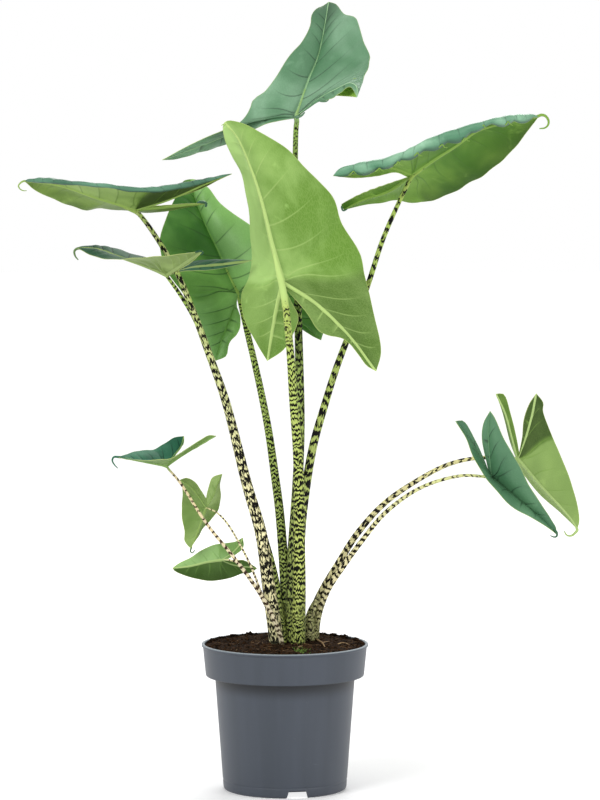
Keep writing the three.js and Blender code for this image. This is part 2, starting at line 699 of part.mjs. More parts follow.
// The middle sheet of a blade: its points, how much keel each carries, and faces seen from above.
function bladeSheet(leaf) {
  const sheet = { points: [], keel: [], faces: [] };
  const numbers = new Map();
  const numberOf = (point, ridge) => {
    const key = point.toArray().map((c) => Math.round(c * 1000)).join();
    if (!numbers.has(key)) {
      numbers.set(key, sheet.points.length);
      sheet.points.push(point);
      sheet.keel.push(ridge);
    }
    return numbers.get(key);
  };
  const addPatch = (rows, columns, turn) => {
    const grid = rows.map((row, i) => acrossRow(row, rows[i + 1] ?? row, columns, leaf, turn)
      .map((point, j) => numberOf(point, j === 0 ? row.ridge : 0)));
    for (let i = 0; i + 1 < grid.length; i += 1) {
      for (let j = 0; j + 1 < columns.length; j += 1) {
        const [a, b, c, d] = [grid[i][j], grid[i + 1][j], grid[i + 1][j + 1], grid[i][j + 1]];
        for (const face of [[a, b, c], [a, c, d]]) {
          if (new Set(face).size === 3) sheet.faces.push(turn > 0 ? face.reverse() : face);
        }
      }
    }
  };
  leaf.halves.forEach((half, side) => {
    const turn = side === 0 ? 1 : -1;
    const rows = outerRows(leaf, half);
    addPatch(rows, half.brow ? ACROSS_ROLLED : leaf.rows.across, turn);
    addPatch(innerRows(half, rows, leaf.rows.lobe), leaf.rows.lobeAcross, -turn);
  });
  return sheet;
}

// Both faces and the edge of a blade, the two faces split alike.
function makeBlade(leaf) {
  const { points, keel, faces } = bladeSheet(leaf);
  const normals = points.map(() => new THREE.Vector3());
  for (const face of faces) {
    const [a, b, c] = face.map((n) => points[n]);
    const normal = b.clone().sub(a).cross(c.clone().sub(a));
    for (const n of face) normals[n].add(normal);
  }
  normals.forEach((normal) => normal.normalize());
  const top = points.map((p, i) => p.clone().addScaledVector(normals[i], BLADE / 2));
  const bottom = points.map((p, i) => (
    p.clone().addScaledVector(normals[i], -BLADE / 2 - leaf.rows.keel * keel[i])));
  const under = points.length;
  const edges = new Map();
  for (const [a, b, c] of faces) {
    for (const [from, to] of [[a, b], [b, c], [c, a]]) {
      if (!edges.delete(`${to},${from}`)) edges.set(`${from},${to}`, [from, to]);
    }
  }
  const walls = [...edges.values()].flatMap(([from, to]) => [
    [to, from, under + from], [to, under + from, under + to],
  ]);
  const lower = faces.map(([a, b, c]) => [under + a, under + c, under + b]);
  return geometryFrom([...top, ...bottom], [...faces, ...lower, ...walls]);
}

// Stems

// A tube along a route, its radius going from `thick` at the foot to `thin` at the leaf.
function tube(route, thick, thin) {
  const path = curveThrough(route);
  const rings = Math.max(STEM_RINGS, Math.round(path.getLength() / STEM_RING_GAP));
  const frames = path.computeFrenetFrames(rings);
  const points = [];
  const faces = [];
  for (let i = 0; i <= rings; i += 1) {
    const centre = path.getPointAt(i / rings);
    const radius = thin + (thick - thin) * (1 - i / rings) ** STEM_TAPER;
    for (let s = 0; s < STEM_SIDES; s += 1) {
      const angle = (s / STEM_SIDES) * TURN;
      points.push(centre.clone()
        .addScaledVector(frames.normals[i], radius * Math.cos(angle))
        .addScaledVector(frames.binormals[i], radius * Math.sin(angle)));
    }
  }
  const at = (ring, s) => ring * STEM_SIDES + (s % STEM_SIDES);
  for (let i = 0; i < rings; i += 1) {
    for (let s = 0; s < STEM_SIDES; s += 1) {
      faces.push([at(i, s), at(i, s + 1), at(i + 1, s + 1)], [at(i, s), at(i + 1, s + 1), at(i + 1, s)]);
    }
  }
  for (let s = 1; s + 1 < STEM_SIDES; s += 1) {
    faces.push([at(0, 0), at(0, s + 1), at(0, s)], [at(rings, 0), at(rings, s), at(rings, s + 1)]);
  }
  return toSolid(geometryFrom(points, faces));
}

// What a stem's end is cut to: the blade round the stem's end, `SEAT_GAP` larger on every side.
function seatCutter(leaf, thin) {
  const size = SEAT_SIZE + SEAT_SHARE * thin;
  const box = new THREE.BoxGeometry(size, size, size).translate(...leaf.rib[0]);
  const near = toGeometry(toSolid(makeBlade(leaf)).intersect(toSolid(box))).attributes.position;
  const steps = [-SEAT_GAP, 0, SEAT_GAP];
  const shifts = steps.flatMap((x) => steps.flatMap((y) => steps.map((z) => new THREE.Vector3(x, y, z))));
  const corners = [];
  for (let i = 0; i < near.count; i += 1) {
    const corner = new THREE.Vector3().fromBufferAttribute(near, i);
    corners.push(...shifts.map((shift) => corner.clone().add(shift)));
  }
  return toSolid(new ConvexGeometry(corners));
}

// A shoot: its stems sheathe each other at the foot, which is buried. `grow` wider, it is the hole
// that the shoot stands in.
function shootSolid(shoot, grow = 0) {
  const [x, y] = shoot.foot;
  const depth = FOOT_DEPTH + grow;
  const foot = upright(shoot.radius * FOOT_TAPER + grow, shoot.radius + grow, depth + FOOT_RISE, FOOT_SIDES)
    .translate(x, y, SOIL_TOP + (FOOT_RISE - depth) / 2);
  const stems = Object.entries(shoot.stems).map(([name, { route, thick, thin }]) => {
    const leaf = LEAVES[name];
    const root = new THREE.Vector3(x, y, 0).lerp(toVector(route[0]), ROOT_SPREAD);
    const path = [root.setZ(SOIL_TOP - ROOT_DEPTH - grow), ...route.map(toVector), toVector(leaf.rib[0])];
    return mainBody(tube(path, thick + grow, thin + grow).subtract(seatCutter(leaf, thin)));
  });
  return mainBody(joined([toSolid(foot), ...stems]));
}

function piece(name, geometry, look) {
  const mesh = new THREE.Mesh(geometry, new THREE.MeshStandardMaterial({ metalness: 0, ...look }));
  mesh.name = name;
  return mesh;
}

const plant = new THREE.Group();
plant.name = 'potted_alocasia_zebrina';
plant.add(piece('pot', makePot(), { color: 0x50586a, roughness: 0.5 }));
plant.add(piece('soil', makeSoil(), { color: 0x2a1c14, roughness: 1 }));
for (const [name, shoot] of Object.entries(SHOOTS)) {
  const group = new THREE.Group();
  group.name = `shoot_${name}`;
  group.add(piece(`stems_${name}`, toGeometry(shootSolid(shoot)), { color: 0xa8b06a, roughness: 0.5 }));
  for (const leafName of Object.keys(shoot.stems)) {
    const leaf = LEAVES[leafName];
    group.add(piece(`leaf_${leafName}`, makeBlade(leaf), { color: leaf.colour, roughness: 0.45 }));
  }
  plant.add(group);
}

export default plant;
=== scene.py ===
"""Looks of a potted alocasia zebrina: the fine blades, striped stems, peat and pot over the plain solids.

Lengths are millimetres up to the moment a mesh is made, then metres. +Z is up and -Y is the front.
"""
import math

import bmesh
import bpy
import numpy as np
from mathutils import Matrix, Vector, noise


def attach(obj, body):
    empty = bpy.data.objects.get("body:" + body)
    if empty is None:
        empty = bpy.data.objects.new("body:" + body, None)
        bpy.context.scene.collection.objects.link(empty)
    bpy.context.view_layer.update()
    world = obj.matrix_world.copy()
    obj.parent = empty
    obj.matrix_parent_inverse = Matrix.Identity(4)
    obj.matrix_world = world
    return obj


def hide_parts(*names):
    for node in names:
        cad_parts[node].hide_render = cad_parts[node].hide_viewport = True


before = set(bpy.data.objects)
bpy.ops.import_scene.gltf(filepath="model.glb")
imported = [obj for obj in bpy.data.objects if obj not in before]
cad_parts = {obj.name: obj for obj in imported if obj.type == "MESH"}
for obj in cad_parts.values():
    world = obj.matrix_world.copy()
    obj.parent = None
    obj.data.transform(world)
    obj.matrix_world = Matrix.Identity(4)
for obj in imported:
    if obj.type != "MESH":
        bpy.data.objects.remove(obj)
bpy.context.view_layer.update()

MM = 0.001

# Camera: where it stands, its tilt, and its focal length in pixels of an image 800 pixels high
EYE = (19, -5000, 885)
TILT = -4.49
FOCAL = 3998
IMAGE_HEIGHT = 800

# Pot, as the solid has it
RIM_TOP = 185
RIM_RADIUS = 105
LIP = {"height": 3, "out": 1.6}
BAND_FOOT = 146
BAND_FOOT_RADIUS = 99.7
SHOULDER = 144.5
SHOULDER_RADIUS = 88.3
RING = {"height": 13, "half": 1.2, "depth": 0.6}
RING_EASE = 0.8  # how much the ring line's corners are rounded
FOOT_RADIUS = 77.5
FOOT_ROUND = 5
WALL = 2
POT_SIDES = 176
POCKETS = {"count": 3, "front": 12, "width": 66, "height": 10, "inner": 30, "outer": 73.5}
NOTCH = {"width": 28, "slant": 3}
DRAIN = {"radius": 5, "ring": 48}

# Peat
PEAT_TOP = 184.4
PEAT_EDGE_DROP = 1.2
PEAT_RADIUS = 101

# Blades: shares of the margin that the rows along the midrib and the rows round the stem's end reach
SHOULDER_SHARE = 0.5
HEEL_SHARE = 0.64
FULL_BOW_WIDTH = 40  # a half as wide as this has its whole bow

# Stems
PEAT_DEPTH = 22  # how deep they stand in the peat
ROOT_SPREAD = 0.25  # how far apart their ends are there, as a share of what it is at the peat's surface
STEM_TAPER = 1.25


def curl(thick, thin, pale, face, *path):
    """A rolled bit or a drip tip's end, with its radii, how much it has of a vein's colour, and its path.

    The face is 0 for the upper face's skin and 1 for the underside's."""
    # A curl without a vein's colour is painted darker: painted shade in the roll.
    tone = 0 if pale else -0.4
    return {"thick": thick, "thin": thin, "pale": pale, "tone": tone, "face": face, "path": path}


# Blades. `rib` runs from the stem's end to the drip tip. Each half, first the left one as the upper face
# is seen with its tip up, has its margin from the drip tip to the lobe's tip, the lobe's vein, the inner
# edge from the cleft to the lobe's tip and, where the margin is rolled, the brow it rolls over, with the
# share where its first scallop ends and how far apart they are. A hem is a strip turned under near a
# lobe's tip. Shading tones are painted light and shade: how much lighter or darker each half is painted,
# by how the light falls on it, at its spine, at its margin and in its lobe, and a tip's painted shading is
# added towards the drip tip.
LEAVES = {
    "top": {
        "large": True, "puff": 2.5, "wave": 2.0, "waves": 7, "tip_shading": -0.7,
        "shading_tones": ((0.2, 0.1, 0.1), (-0.1, 0.1, 0)),
        "rib": [(14, 60, 847), (29, 88, 890), (42, 116, 922), (51, 148, 963), (56, 168, 993)],
        "halves": [{
            "margin": [(49, 166, 988), (40, 158, 984), (34, 150, 976), (32, 138, 963), (22, 112, 942),
                (6, 92, 924), (-14, 70, 893), (-26, 62, 878), (-40, 56, 868), (-45, 46, 855), (-55, 34, 841),
                (-79, 22, 829), (-112, 8, 815), (-153, -4, 793)],
            "vein": [(-29, 58, 845), (-79, 36, 821)],
            "inner": [(11, 60, 844), (-18, 48, 839), (-38, 48, 831), (-77, 48, 811), (-110, 30, 801),
                (-135, 12, 794)],
        }, {
            "margin": [(65, 162, 990), (76, 146, 977), (90, 130, 972), (94, 123, 963), (100, 98, 941),
                (107, 84, 925), (107, 70, 915), (99, 40, 894), (90, 4, 871)],
            "vein": [(42, 46, 869), (63, 28, 881), (82, 20, 889), (90, 12, 884)],
            "inner": [(27, 56, 855), (42, 44, 865), (58, 27, 869), (69, 22, 876), (81, 16, 884),
                (86, 10, 879)],
            "hem": {"from": 0.8, "bulge": (3, 8, 0), "edge": [(89, 46, 895), (74, 44, 885), (64, 38, 873)]},
        }],
        "curls": [
            curl(2.2, 0.8, 0, 0, (12, 57, 846), (16, 55, 846), (21, 54, 848), (25, 53, 852)),
            curl(1.7, 0.6, 0, 0, (42, 42, 867), (47, 38, 866), (52, 33, 866), (55, 30, 868)),
        ],
    },
    "front": {
        "large": True, "puff": 5, "wave": 1.6, "waves": 6, "tip_shading": 0.25,
        "shading_tones": ((0.15, -0.05, -0.55), (0.3, 0.5, -0.3)),
        "rib": [(-3, -50, 643), (-16, -46, 689), (-27, -38, 735), (-39, -26, 774), (-59, -12, 821),
            (-75, -4, 840)],
        "halves": [{
            "margin": [(-71, -2, 842), (-61, 4, 841), (-49, 10, 837), (-34, 14, 829), (1, 22, 808),
                (23, 25, 785), (43, 26, 766), (61, 25, 744), (71, 22, 715), (95, 10, 673), (100, 4, 650),
                (108, -8, 615), (120, -28, 555), (114, -36, 531)],
            "vein": [(38, -50, 617), (79, -44, 577)],
            "inner": [(-1, -49, 637), (29, -44, 602), (41, -41, 583), (54, -40, 576), (74, -38, 571),
                (90, -38, 554), (102, -38, 538)],
        }, {
            "margin": [(-77, -2, 835), (-77, 2, 829), (-74, 9, 815), (-67, 16, 800), (-55, 32, 775),
                (-48, 40, 746), (-45, 42, 719), (-42, 40, 675), (-45, 34, 644), (-55, 24, 623),
                (-51, 16, 594), (-35, 10, 562), (-22, 6, 541)],
            "vein": [(-10, -28, 613), (-17, -6, 574)],
            "inner": [(-1, -49, 637), (7, -34, 620), (17, -20, 597), (11, -12, 577), (-2, 0, 555)],
        }],
        "curls": [
            curl(1.5, 0.4, 0.9, 1, (-69, -7, 832), (-74, -5, 838), (-79, -4, 836)),
        ],
    },
    "left": {
        "large": True, "puff": 4, "wave": 1.2, "waves": 7, "tip_shading": -0.3,
        "shading_tones": ((0.45, -0.1, -0.8), (-0.1, 0.15, -0.3)),
        "rib": [(-186, -10, 731), (-209, -17, 739), (-235, -25, 747), (-278, -40, 762), (-303, -46, 766),
            (-322, -52, 768)],
        "halves": [{
            "margin": [(-313, -62, 767), (-300, -72, 766), (-262, -92, 764), (-220, -100, 761),
                (-187, -98, 756), (-159, -92, 755), (-112, -72, 762), (-65, -54, 777)],
            "brow": [(-313, -65, 770), (-300, -74, 771), (-262, -94, 768), (-220, -102, 765),
                (-187, -100, 761), (-159, -94, 761), (-111, -74, 768)],
            "vein": [(-142, -30, 745), (-99, -44, 764)],
            "inner": [(-182, -11, 733), (-151, -24, 743), (-122, -36, 751), (-99, -45, 760), (-82, -50, 769)],
        }, {
            "margin": [(-318, -46, 764), (-311, -36, 757), (-285, -8, 743), (-269, 10, 736), (-252, 26, 730),
                (-231, 46, 731), (-193, 60, 727), (-165, 72, 725), (-133, 78, 730), (-100, 80, 736)],
            "vein": [(-159, 26, 732), (-129, 58, 734)],
            "inner": [(-182, -11, 733), (-166, 12, 735), (-142, 44, 736), (-119, 66, 737)],
        }],
        "curls": [
            curl(1.5, 0.4, 0.5, 1, (-312, -49, 766), (-322, -52, 768), (-326, -53, 766), (-329, -53, 762),
                (-327, -52, 758), (-323, -51, 756), (-319, -50, 756)),
            curl(2.6, 1.2, 0, 0, (-112, 77, 737), (-104, 78, 738), (-100, 79, 736), (-101, 79, 732)),
        ],
    },
    "right": {
        "large": True, "puff": 4, "wave": 1.8, "waves": 9,
        "shading_tones": ((0.1, -0.6, 0.1), (0, 0, 0.3)),
        "rib": [(159, 20, 774), (186, 16, 793), (214, 12, 811), (240, 8, 829), (284, 5, 841), (301, 4, 845),
            (317, 4, 847)],
        "halves": [{
            "margin": [(313, 9, 841), (308, 18, 834), (298, 34, 819), (283, 50, 800), (252, 68, 773),
                (233, 76, 762), (206, 82, 747), (169, 86, 737), (142, 90, 740), (122, 92, 737), (95, 92, 733),
                (75, 88, 728)],
            "vein": [(133, 50, 753), (100, 72, 741)],
            "inner": [(154, 20, 771), (131, 36, 763), (100, 60, 751), (81, 78, 741), (71, 84, 734)],
        }, {
            "margin": [(307, -7, 843), (275, -24, 837), (246, -36, 834), (223, -42, 820), (193, -50, 810),
                (165, -54, 800), (138, -54, 789), (102, -50, 777), (60, -42, 774)],
            "brow": [(309, -4, 849), (284, -22, 848), (256, -36, 843), (228, -46, 836), (184, -56, 822),
                (145, -58, 803), (118, -58, 793), (92, -54, 789), (68, -46, 782)],
            "vein": [(129, 2, 785), (94, -22, 782)],
            "inner": [(154, 20, 771), (139, 10, 777), (116, -6, 773), (87, -26, 771)],
            "scallops": (0.145, 0.1085),
        }],
        "curls": [
            curl(2.3, 0.7, 0.5, 1, (306, 4, 845), (315, 4, 847), (320, 4, 849), (325, 4, 848), (329, 4, 843),
                (329, 4, 837), (325, 4, 833), (318, 4, 832)),
            curl(1.7, 0.7, 0, 0, (85, 84, 736), (78, 86, 736), (72, 86, 732), (74, 86, 727), (79, 85, 729)),
            curl(0.9, 0.4, 0.9, 1, (272, -25, 836), (275, -28, 838), (277, -29, 841), (280, -28, 838),
                (283, -25, 836)),
            curl(0.9, 0.4, 0.9, 1, (240, -37, 832), (244, -40, 835), (246, -41, 837), (248, -40, 834),
                (252, -37, 833)),
            curl(0.9, 0.4, 0.9, 1, (218, -43, 816), (221, -46, 819), (223, -47, 821), (226, -46, 818),
                (229, -43, 817)),
            curl(0.9, 0.4, 0.9, 1, (189, -51, 808), (192, -54, 811), (195, -55, 813), (197, -54, 810),
                (201, -51, 809)),
            curl(0.9, 0.4, 0.9, 1, (158, -55, 798), (161, -58, 800), (164, -59, 803), (166, -58, 800),
                (170, -55, 799)),
            curl(0.9, 0.4, 0.9, 1, (134, -55, 787), (138, -58, 789), (140, -59, 792), (142, -58, 789),
                (146, -55, 787)),
            curl(0.9, 0.4, 0.9, 1, (111, -53, 779), (115, -56, 782), (117, -57, 784), (119, -56, 782),
                (123, -53, 780)),
            curl(0.9, 0.4, 0.9, 1, (79, -47, 775), (83, -50, 778), (85, -51, 780), (87, -50, 778),
                (91, -47, 776)),
        ],
    },
    "low": {
        "large": True, "puff": 4, "wave": 1.0, "waves": 6,
        "rib": [(-147, -8, 650), (-173, 4, 660), (-205, 22, 670), (-236, 40, 680), (-250, 46, 681),
            (-263, 50, 681)],
        "halves": [{
            "margin": [(-255, 37, 678), (-244, 24, 673), (-220, -2, 669), (-196, -28, 671), (-167, -52, 674),
                (-140, -70, 677), (-120, -82, 680), (-100, -90, 683)],
            "vein": [(-130, -36, 662), (-112, -66, 675)],
            "inner": [(-142, -9, 651), (-130, -26, 658), (-116, -54, 667)],
        }, {
            "margin": [(-258, 54, 683), (-251, 60, 683), (-235, 68, 682), (-217, 74, 679), (-201, 76, 674),
                (-178, 74, 668), (-146, 68, 663), (-109, 52, 665), (-75, 34, 667), (-41, 14, 667)],
            "vein": [(-119, 8, 658), (-81, 14, 662)],
            "inner": [(-142, -9, 651), (-127, -2, 654), (-93, 10, 655), (-64, 14, 660)],
        }],
        "curls": [
            curl(2.1, 0.6, 0.4, 0, (-254, 47, 681), (-263, 50, 680), (-266, 50, 677), (-265, 49, 671),
                (-261, 48, 666)),
            curl(1.5, 0.6, 0, 0, (-110, -86, 681), (-104, -89, 683), (-100, -90, 681), (-103, -89, 678)),
        ],
    },
    "back": {
        "large": True, "puff": 5, "wave": 1.6, "waves": 7,
        "shading_tones": ((0, -0.1, 0.35), (0.3, 0.6, 0)),
        "rib": [(-60, 112, 620), (-72, 124, 643), (-84, 134, 669), (-103, 148, 707), (-116, 160, 739),
            (-123, 170, 765)],
        "halves": [{
            "margin": [(-131, 168, 763), (-143, 146, 739), (-152, 130, 718), (-160, 118, 692),
                (-159, 112, 671), (-153, 107, 652), (-143, 103, 637), (-129, 98, 619), (-116, 94, 587),
                (-101, 88, 553), (-88, 84, 536)],
            "vein": [(-70, 102, 589), (-81, 92, 562)],
            "inner": [(-62, 112, 615), (-62, 108, 605), (-57, 98, 590), (-59, 92, 573), (-71, 88, 558),
                (-75, 84, 542)],
        }, {
            "margin": [(-117, 168, 765), (-100, 162, 755), (-83, 152, 734), (-45, 138, 707), (-9, 122, 683),
                (22, 108, 653), (42, 98, 618), (52, 90, 588), (46, 84, 562)],
            "vein": [(-19, 100, 605), (19, 90, 585)],
            "inner": [(-58, 112, 613), (-30, 104, 605), (1, 94, 590), (24, 87, 574), (37, 85, 566)],
        }],
    },
    "small_high": {
        "large": False, "puff": 2, "wave": 0.8, "waves": 5,
        "rib": [(-147, -30, 412), (-168, -32, 416), (-193, -36, 421), (-208, -38, 424)],
        "halves": [{
            "margin": [(-203, -44, 423), (-195, -50, 422), (-176, -60, 422), (-157, -64, 423),
                (-138, -64, 426), (-121, -62, 437), (-105, -60, 447), (-94, -58, 453), (-85, -56, 452)],
            "vein": [(-128, -42, 426), (-106, -52, 440)],
            "inner": [(-145, -30, 413), (-122, -40, 429), (-105, -46, 439)],
        }, {
            "margin": [(-203, -31, 425), (-184, -8, 429), (-164, 4, 430), (-151, 9, 437), (-139, 12, 444),
                (-127, 10, 446)],
            "vein": [(-139, -14, 423), (-130, 0, 434)],
            "inner": [(-145, -30, 413), (-136, -18, 426), (-127, -2, 438)],
        }],
        "curls": [
            curl(1.8, 0.45, 0.3, 0, (-199, -37, 423), (-207, -38, 424), (-213, -38, 424), (-215, -38, 420),
                (-212, -38, 414), (-208, -38, 410)),
        ],
    },
    "small_mid": {
        "large": False, "puff": 2, "wave": 0.8, "waves": 5,
        "shading_tones": ((0.25, 0.05, -0.25), (0.3, 0.1, 0.35)),
        "rib": [(-99, -6, 357), (-104, -12, 342), (-111, -20, 323), (-118, -24, 308)],
        "halves": [{
            "margin": [(-122, -19, 311), (-126, -14, 317), (-126, -4, 328), (-129, 3, 339), (-130, 10, 355),
                (-129, 14, 372), (-130, 14, 384), (-133, 14, 390)],
            "vein": [(-109, 2, 371), (-122, 10, 384)],
            "inner": [(-99, -4, 369), (-106, 4, 379), (-113, 10, 388), (-124, 14, 393)],
        }, {
            "margin": [(-115, -25, 313), (-109, -16, 321), (-102, -6, 332), (-91, 7, 343), (-84, 16, 353),
                (-81, 20, 367), (-82, 20, 383), (-79, 14, 398)],
            "vein": [(-90, 4, 372), (-84, 12, 388)],
            "inner": [(-99, -4, 369), (-96, 6, 382), (-91, 12, 394)],
        }],
        "curls": [
            curl(1.2, 0.45, 0, 0, (-116, -22, 311), (-118, -24, 306), (-118, -24, 304), (-116, -24, 302),
                (-114, -24, 304), (-112, -24, 306)),
        ],
    },
    "small_low": {
        "large": False, "puff": 2, "wave": 0.6, "waves": 4,
        "shading_tones": ((0.45, 0.5, 0.3), (-0.5, -0.8, -0.6)),
        "rib": [(-79, -14, 292), (-96, -16, 290), (-119, -20, 285), (-141, -24, 283)],
        "halves": [{
            "margin": [(-134, -20, 288), (-118, -10, 295), (-103, -1, 304), (-89, 5, 309), (-74, 8, 311),
                (-62, 8, 313), (-53, 8, 318)],
            "vein": [(-68, -4, 298), (-58, 4, 308)],
            "inner": [(-74, -13, 292), (-63, -4, 297), (-52, 6, 306)],
        }, {
            "margin": [(-138, -22, 279), (-117, -8, 269), (-98, 2, 264), (-81, 8, 264), (-67, 12, 267),
                (-53, 12, 272), (-43, 10, 273), (-35, 8, 279)],
            "vein": [(-63, -2, 284), (-49, 6, 281)],
            "inner": [(-74, -13, 292), (-62, -6, 291), (-52, 2, 290), (-42, 8, 284)],
        }],
    },
    "small_right": {
        "large": False, "puff": 3, "wave": 0.8, "waves": 5,
        "shading_tones": ((0.1, 0.2, 0.2), (0.2, 0.3, 0)),
        "rib": [(258, -40, 399), (272, -42, 388), (293, -46, 371), (319, -52, 349), (330, -56, 338),
            (337, -58, 330)],
        "halves": [{
            "margin": [(338, -57, 336), (332, -56, 347), (321, -58, 364), (304, -62, 390), (289, -64, 420),
                (273, -62, 447), (260, -56, 476), (255, -52, 483)],
            "vein": [(255, -46, 427), (253, -50, 456)],
            "inner": [(255, -40, 404), (250, -44, 423), (245, -48, 449), (247, -50, 468)],
        }, {
            "margin": [(331, -61, 335), (306, -62, 351), (285, -64, 362), (263, -64, 384), (250, -62, 400),
                (235, -58, 424), (225, -54, 449), (212, -50, 470)],
            "vein": [(244, -44, 425), (229, -46, 449)],
            "inner": [(255, -40, 404), (248, -42, 422), (237, -44, 446), (222, -46, 470)],
        }],
        "curls": [
            curl(1.9, 0.45, 0.3, 0, (333, -57, 335), (338, -58, 332), (338, -58, 327), (335, -58, 326),
                (330, -58, 328)),
        ],
    },
    "tall_right": {
        "large": False, "puff": 3, "wave": 0.8, "waves": 5,
        "shading_tones": ((0.8, 0.4, 0), (0.5, 0.4, -0.7)),
        "rib": [(292, -6, 419), (304, -8, 405), (321, -12, 385), (342, -18, 363), (357, -22, 346),
            (366, -24, 332)],
        "halves": [{
            "margin": [(361, -19, 337), (347, -4, 350), (331, 10, 363), (308, 20, 387), (290, 22, 420),
                (281, 22, 449), (272, 18, 482), (265, 14, 499)],
            "vein": [(285, 4, 445), (277, 10, 474)],
            "inner": [(294, -5, 426), (291, 4, 445), (284, 10, 474), (275, 14, 499)],
        }, {
            "margin": [(369, -19, 342), (366, -6, 366), (355, 8, 402), (339, 16, 440), (325, 16, 477),
                (325, 14, 488), (316, 10, 500)],
            "vein": [(303, 2, 446), (311, 8, 473)],
            "inner": [(294, -5, 426), (298, 2, 446), (300, 6, 467), (307, 8, 487)],
        }],
        "curls": [
            curl(2.2, 0.6, 0.6, 1, (363, -23, 337), (366, -24, 331), (363, -24, 327), (359, -24, 324),
                (354, -24, 324), (351, -24, 327), (350, -24, 330)),
        ],
    },
}

# Shoots: the buried foot, its radius and, for each leaf, the stem's two radii and its route up to the blade.
# A sheath round the foot has the skin of the stem with its number.
SHOOTS = {
    "left": {
        "foot": (-10, 1, 179), "radius": 9.6,
        "stems": {
            "left": {"thick": 9.8, "thin": 2.8, "route": [(-11, -1, 188), (-21, -1, 261), (-30, -2, 324),
                (-47, -4, 384), (-75, -6, 494), (-96, -8, 554), (-114, -9, 603), (-132, -10, 647),
                (-148, -10, 677), (-170, -10, 711), (-182, -11, 726)]},
            "low": {"thick": 8.2, "thin": 2.2, "route": [(-5, 5, 187), (-9, 6, 224), (-14, 7, 264),
                (-29, 7, 323), (-48, 5, 383), (-76, 2, 493), (-96, 0, 554), (-114, -2, 596), (-133, -5, 628),
                (-145, -9, 645)]},
            "small_high": {"thick": 3.4, "thin": 1.5, "route": [(-4, -7, 184), (-15, -14, 220),
                (-29, -20, 247), (-59, -28, 291), (-97, -32, 339), (-132, -31, 393), (-145, -30, 408)]},
            "small_mid": {"thick": 2.4, "thin": 1.0, "route": [(-7, -5, 188), (-16, -10, 219),
                (-29, -14, 249), (-42, -16, 283), (-56, -14, 311), (-73, -12, 339), (-86, -11, 352),
                (-95, -9, 356)]},
            "small_low": {"thick": 2.2, "thin": 1.1, "route": [(-10, 0, 188), (-21, -5, 225), (-36, -10, 255),
                (-49, -14, 276), (-61, -19, 290), (-74, -18, 293)]},
        },
    },
    "centre": {
        "foot": (13, 4, 178), "radius": 12.2,
        "stems": {
            "front": {"thick": 9.5, "thin": 4.2, "route": [(16, -2, 187), (18, -5, 247), (18, -8, 308),
                (18, -12, 370), (16, -18, 431), (11, -28, 493), (7, -42, 554), (3, -53, 596), (-1, -58, 628),
                (-3, -56, 638)]},
            "top": {"thick": 9.0, "thin": 3.2, "route": [(10, 8, 187), (9, 10, 245), (11, 12, 305),
                (15, 15, 367), (18, 20, 428), (19, 25, 465), (18, 35, 540), (16, 46, 613), (13, 60, 716),
                (13, 68, 792), (14, 68, 832), (15, 65, 842)]},
            "back": {"thick": 7.4, "thin": 3.7, "route": [(4, 15, 186), (1, 16, 244), (-3, 18, 305),
                (-7, 24, 351), (-13, 33, 396), (-20, 46, 444), (-28, 60, 486), (-38, 80, 530),
                (-49, 104, 574), (-56, 118, 604), (-58, 119, 613)]},
            "right": {"thick": 8.0, "thin": 2.6, "route": [(18, 12, 186), (18, 15, 263), (20, 18, 326),
                (25, 20, 371), (36, 24, 434), (49, 26, 480), (64, 28, 528), (103, 30, 631), (123, 29, 692),
                (143, 24, 739), (156, 19, 766)]},
        },
    },
    "right": {
        "foot": (35, 30, 178), "radius": 8,
        "stems": {
            "small_right": {"thick": 5.0, "thin": 1.8, "route": [(38, 30, 183), (42, 26, 216), (54, 20, 250),
                (75, 12, 283), (96, 4, 313), (126, -8, 351), (170, -22, 384), (220, -32, 400),
                (253, -38, 399)]},
            "tall_right": {"thick": 6.2, "thin": 2.1, "route": [(32, 30, 183), (35, 30, 210), (39, 30, 229),
                (49, 28, 251), (67, 24, 282), (91, 20, 321), (125, 14, 360), (168, 8, 391), (206, 4, 411),
                (239, 0, 419), (270, -3, 420), (289, -6, 419)]},
        },
        "sheath": {"skin": 0, "thick": 6.8, "thin": 0.7, "route": [(31, 26, 179), (31, 25, 198),
            (32, 24, 216), (37, 23, 230), (44, 23, 243)]},
    },
}

BLADE = 0.9  # thickness of a blade
MARGIN_BLADE = 0.5  # its thickness at the margin
ROW_GAP = 5  # between the rows of a blade where no vein runs
HEEL_PER_MM = 0.0016  # share of the rows that a millimetre round the stem's end has
CLOSE_ROWS = (-1.5, -0.7, 0, 0.7, 1.5)  # rows beside a vein
ROLL_BULGE = 0.2  # how far a rolled margin bulges, as a share of its width
SCALLOP = 4.5  # depth of the scallops of a rolled margin
RIB_COLUMNS = (0, 0.35, 0.7, 1, 1.5)  # columns beside the midrib, in half widths of it
MARGIN_COLUMNS = (1.6, 0.5, 0)  # columns at the margin, in millimetres from it
CUSP_ROWS = (-0.14, 0, 0.14)  # rows at the cusp between two scallops, in scallops
LEAST_ROW_GAP = 8e-4  # rows closer than this become one
SKIN_LENGTH = 400  # length of a blade's margin in the pattern of its skin
SKIN_APART = 300  # how far apart a blade's parts lie in that pattern
RIPPLES = 31  # fine ripples along a margin
RIPPLE = 0.1  # their height, as a share of the waves'
RIB_WIDTH = (3.9, 1.3)  # half the midrib's width at the stem's end and at the drip tip
RIB_HEIGHT = (2.6, 0.3)  # its height there
LOBE_RIB = 0.62  # size of a lobe's vein at the stem's end, as a share of the midrib
QUILT = 0.7  # how far the tissue puffs up between two side veins
VEIN_GROOVE = 0.35  # depth of a side vein on the upper face
VEIN_RIDGE = 0.4  # its height on the underside
RIB_GROOVE = 0.25  # depth of the midrib on the upper face
CURL_RINGS = 22
CURL_SIDES = 10
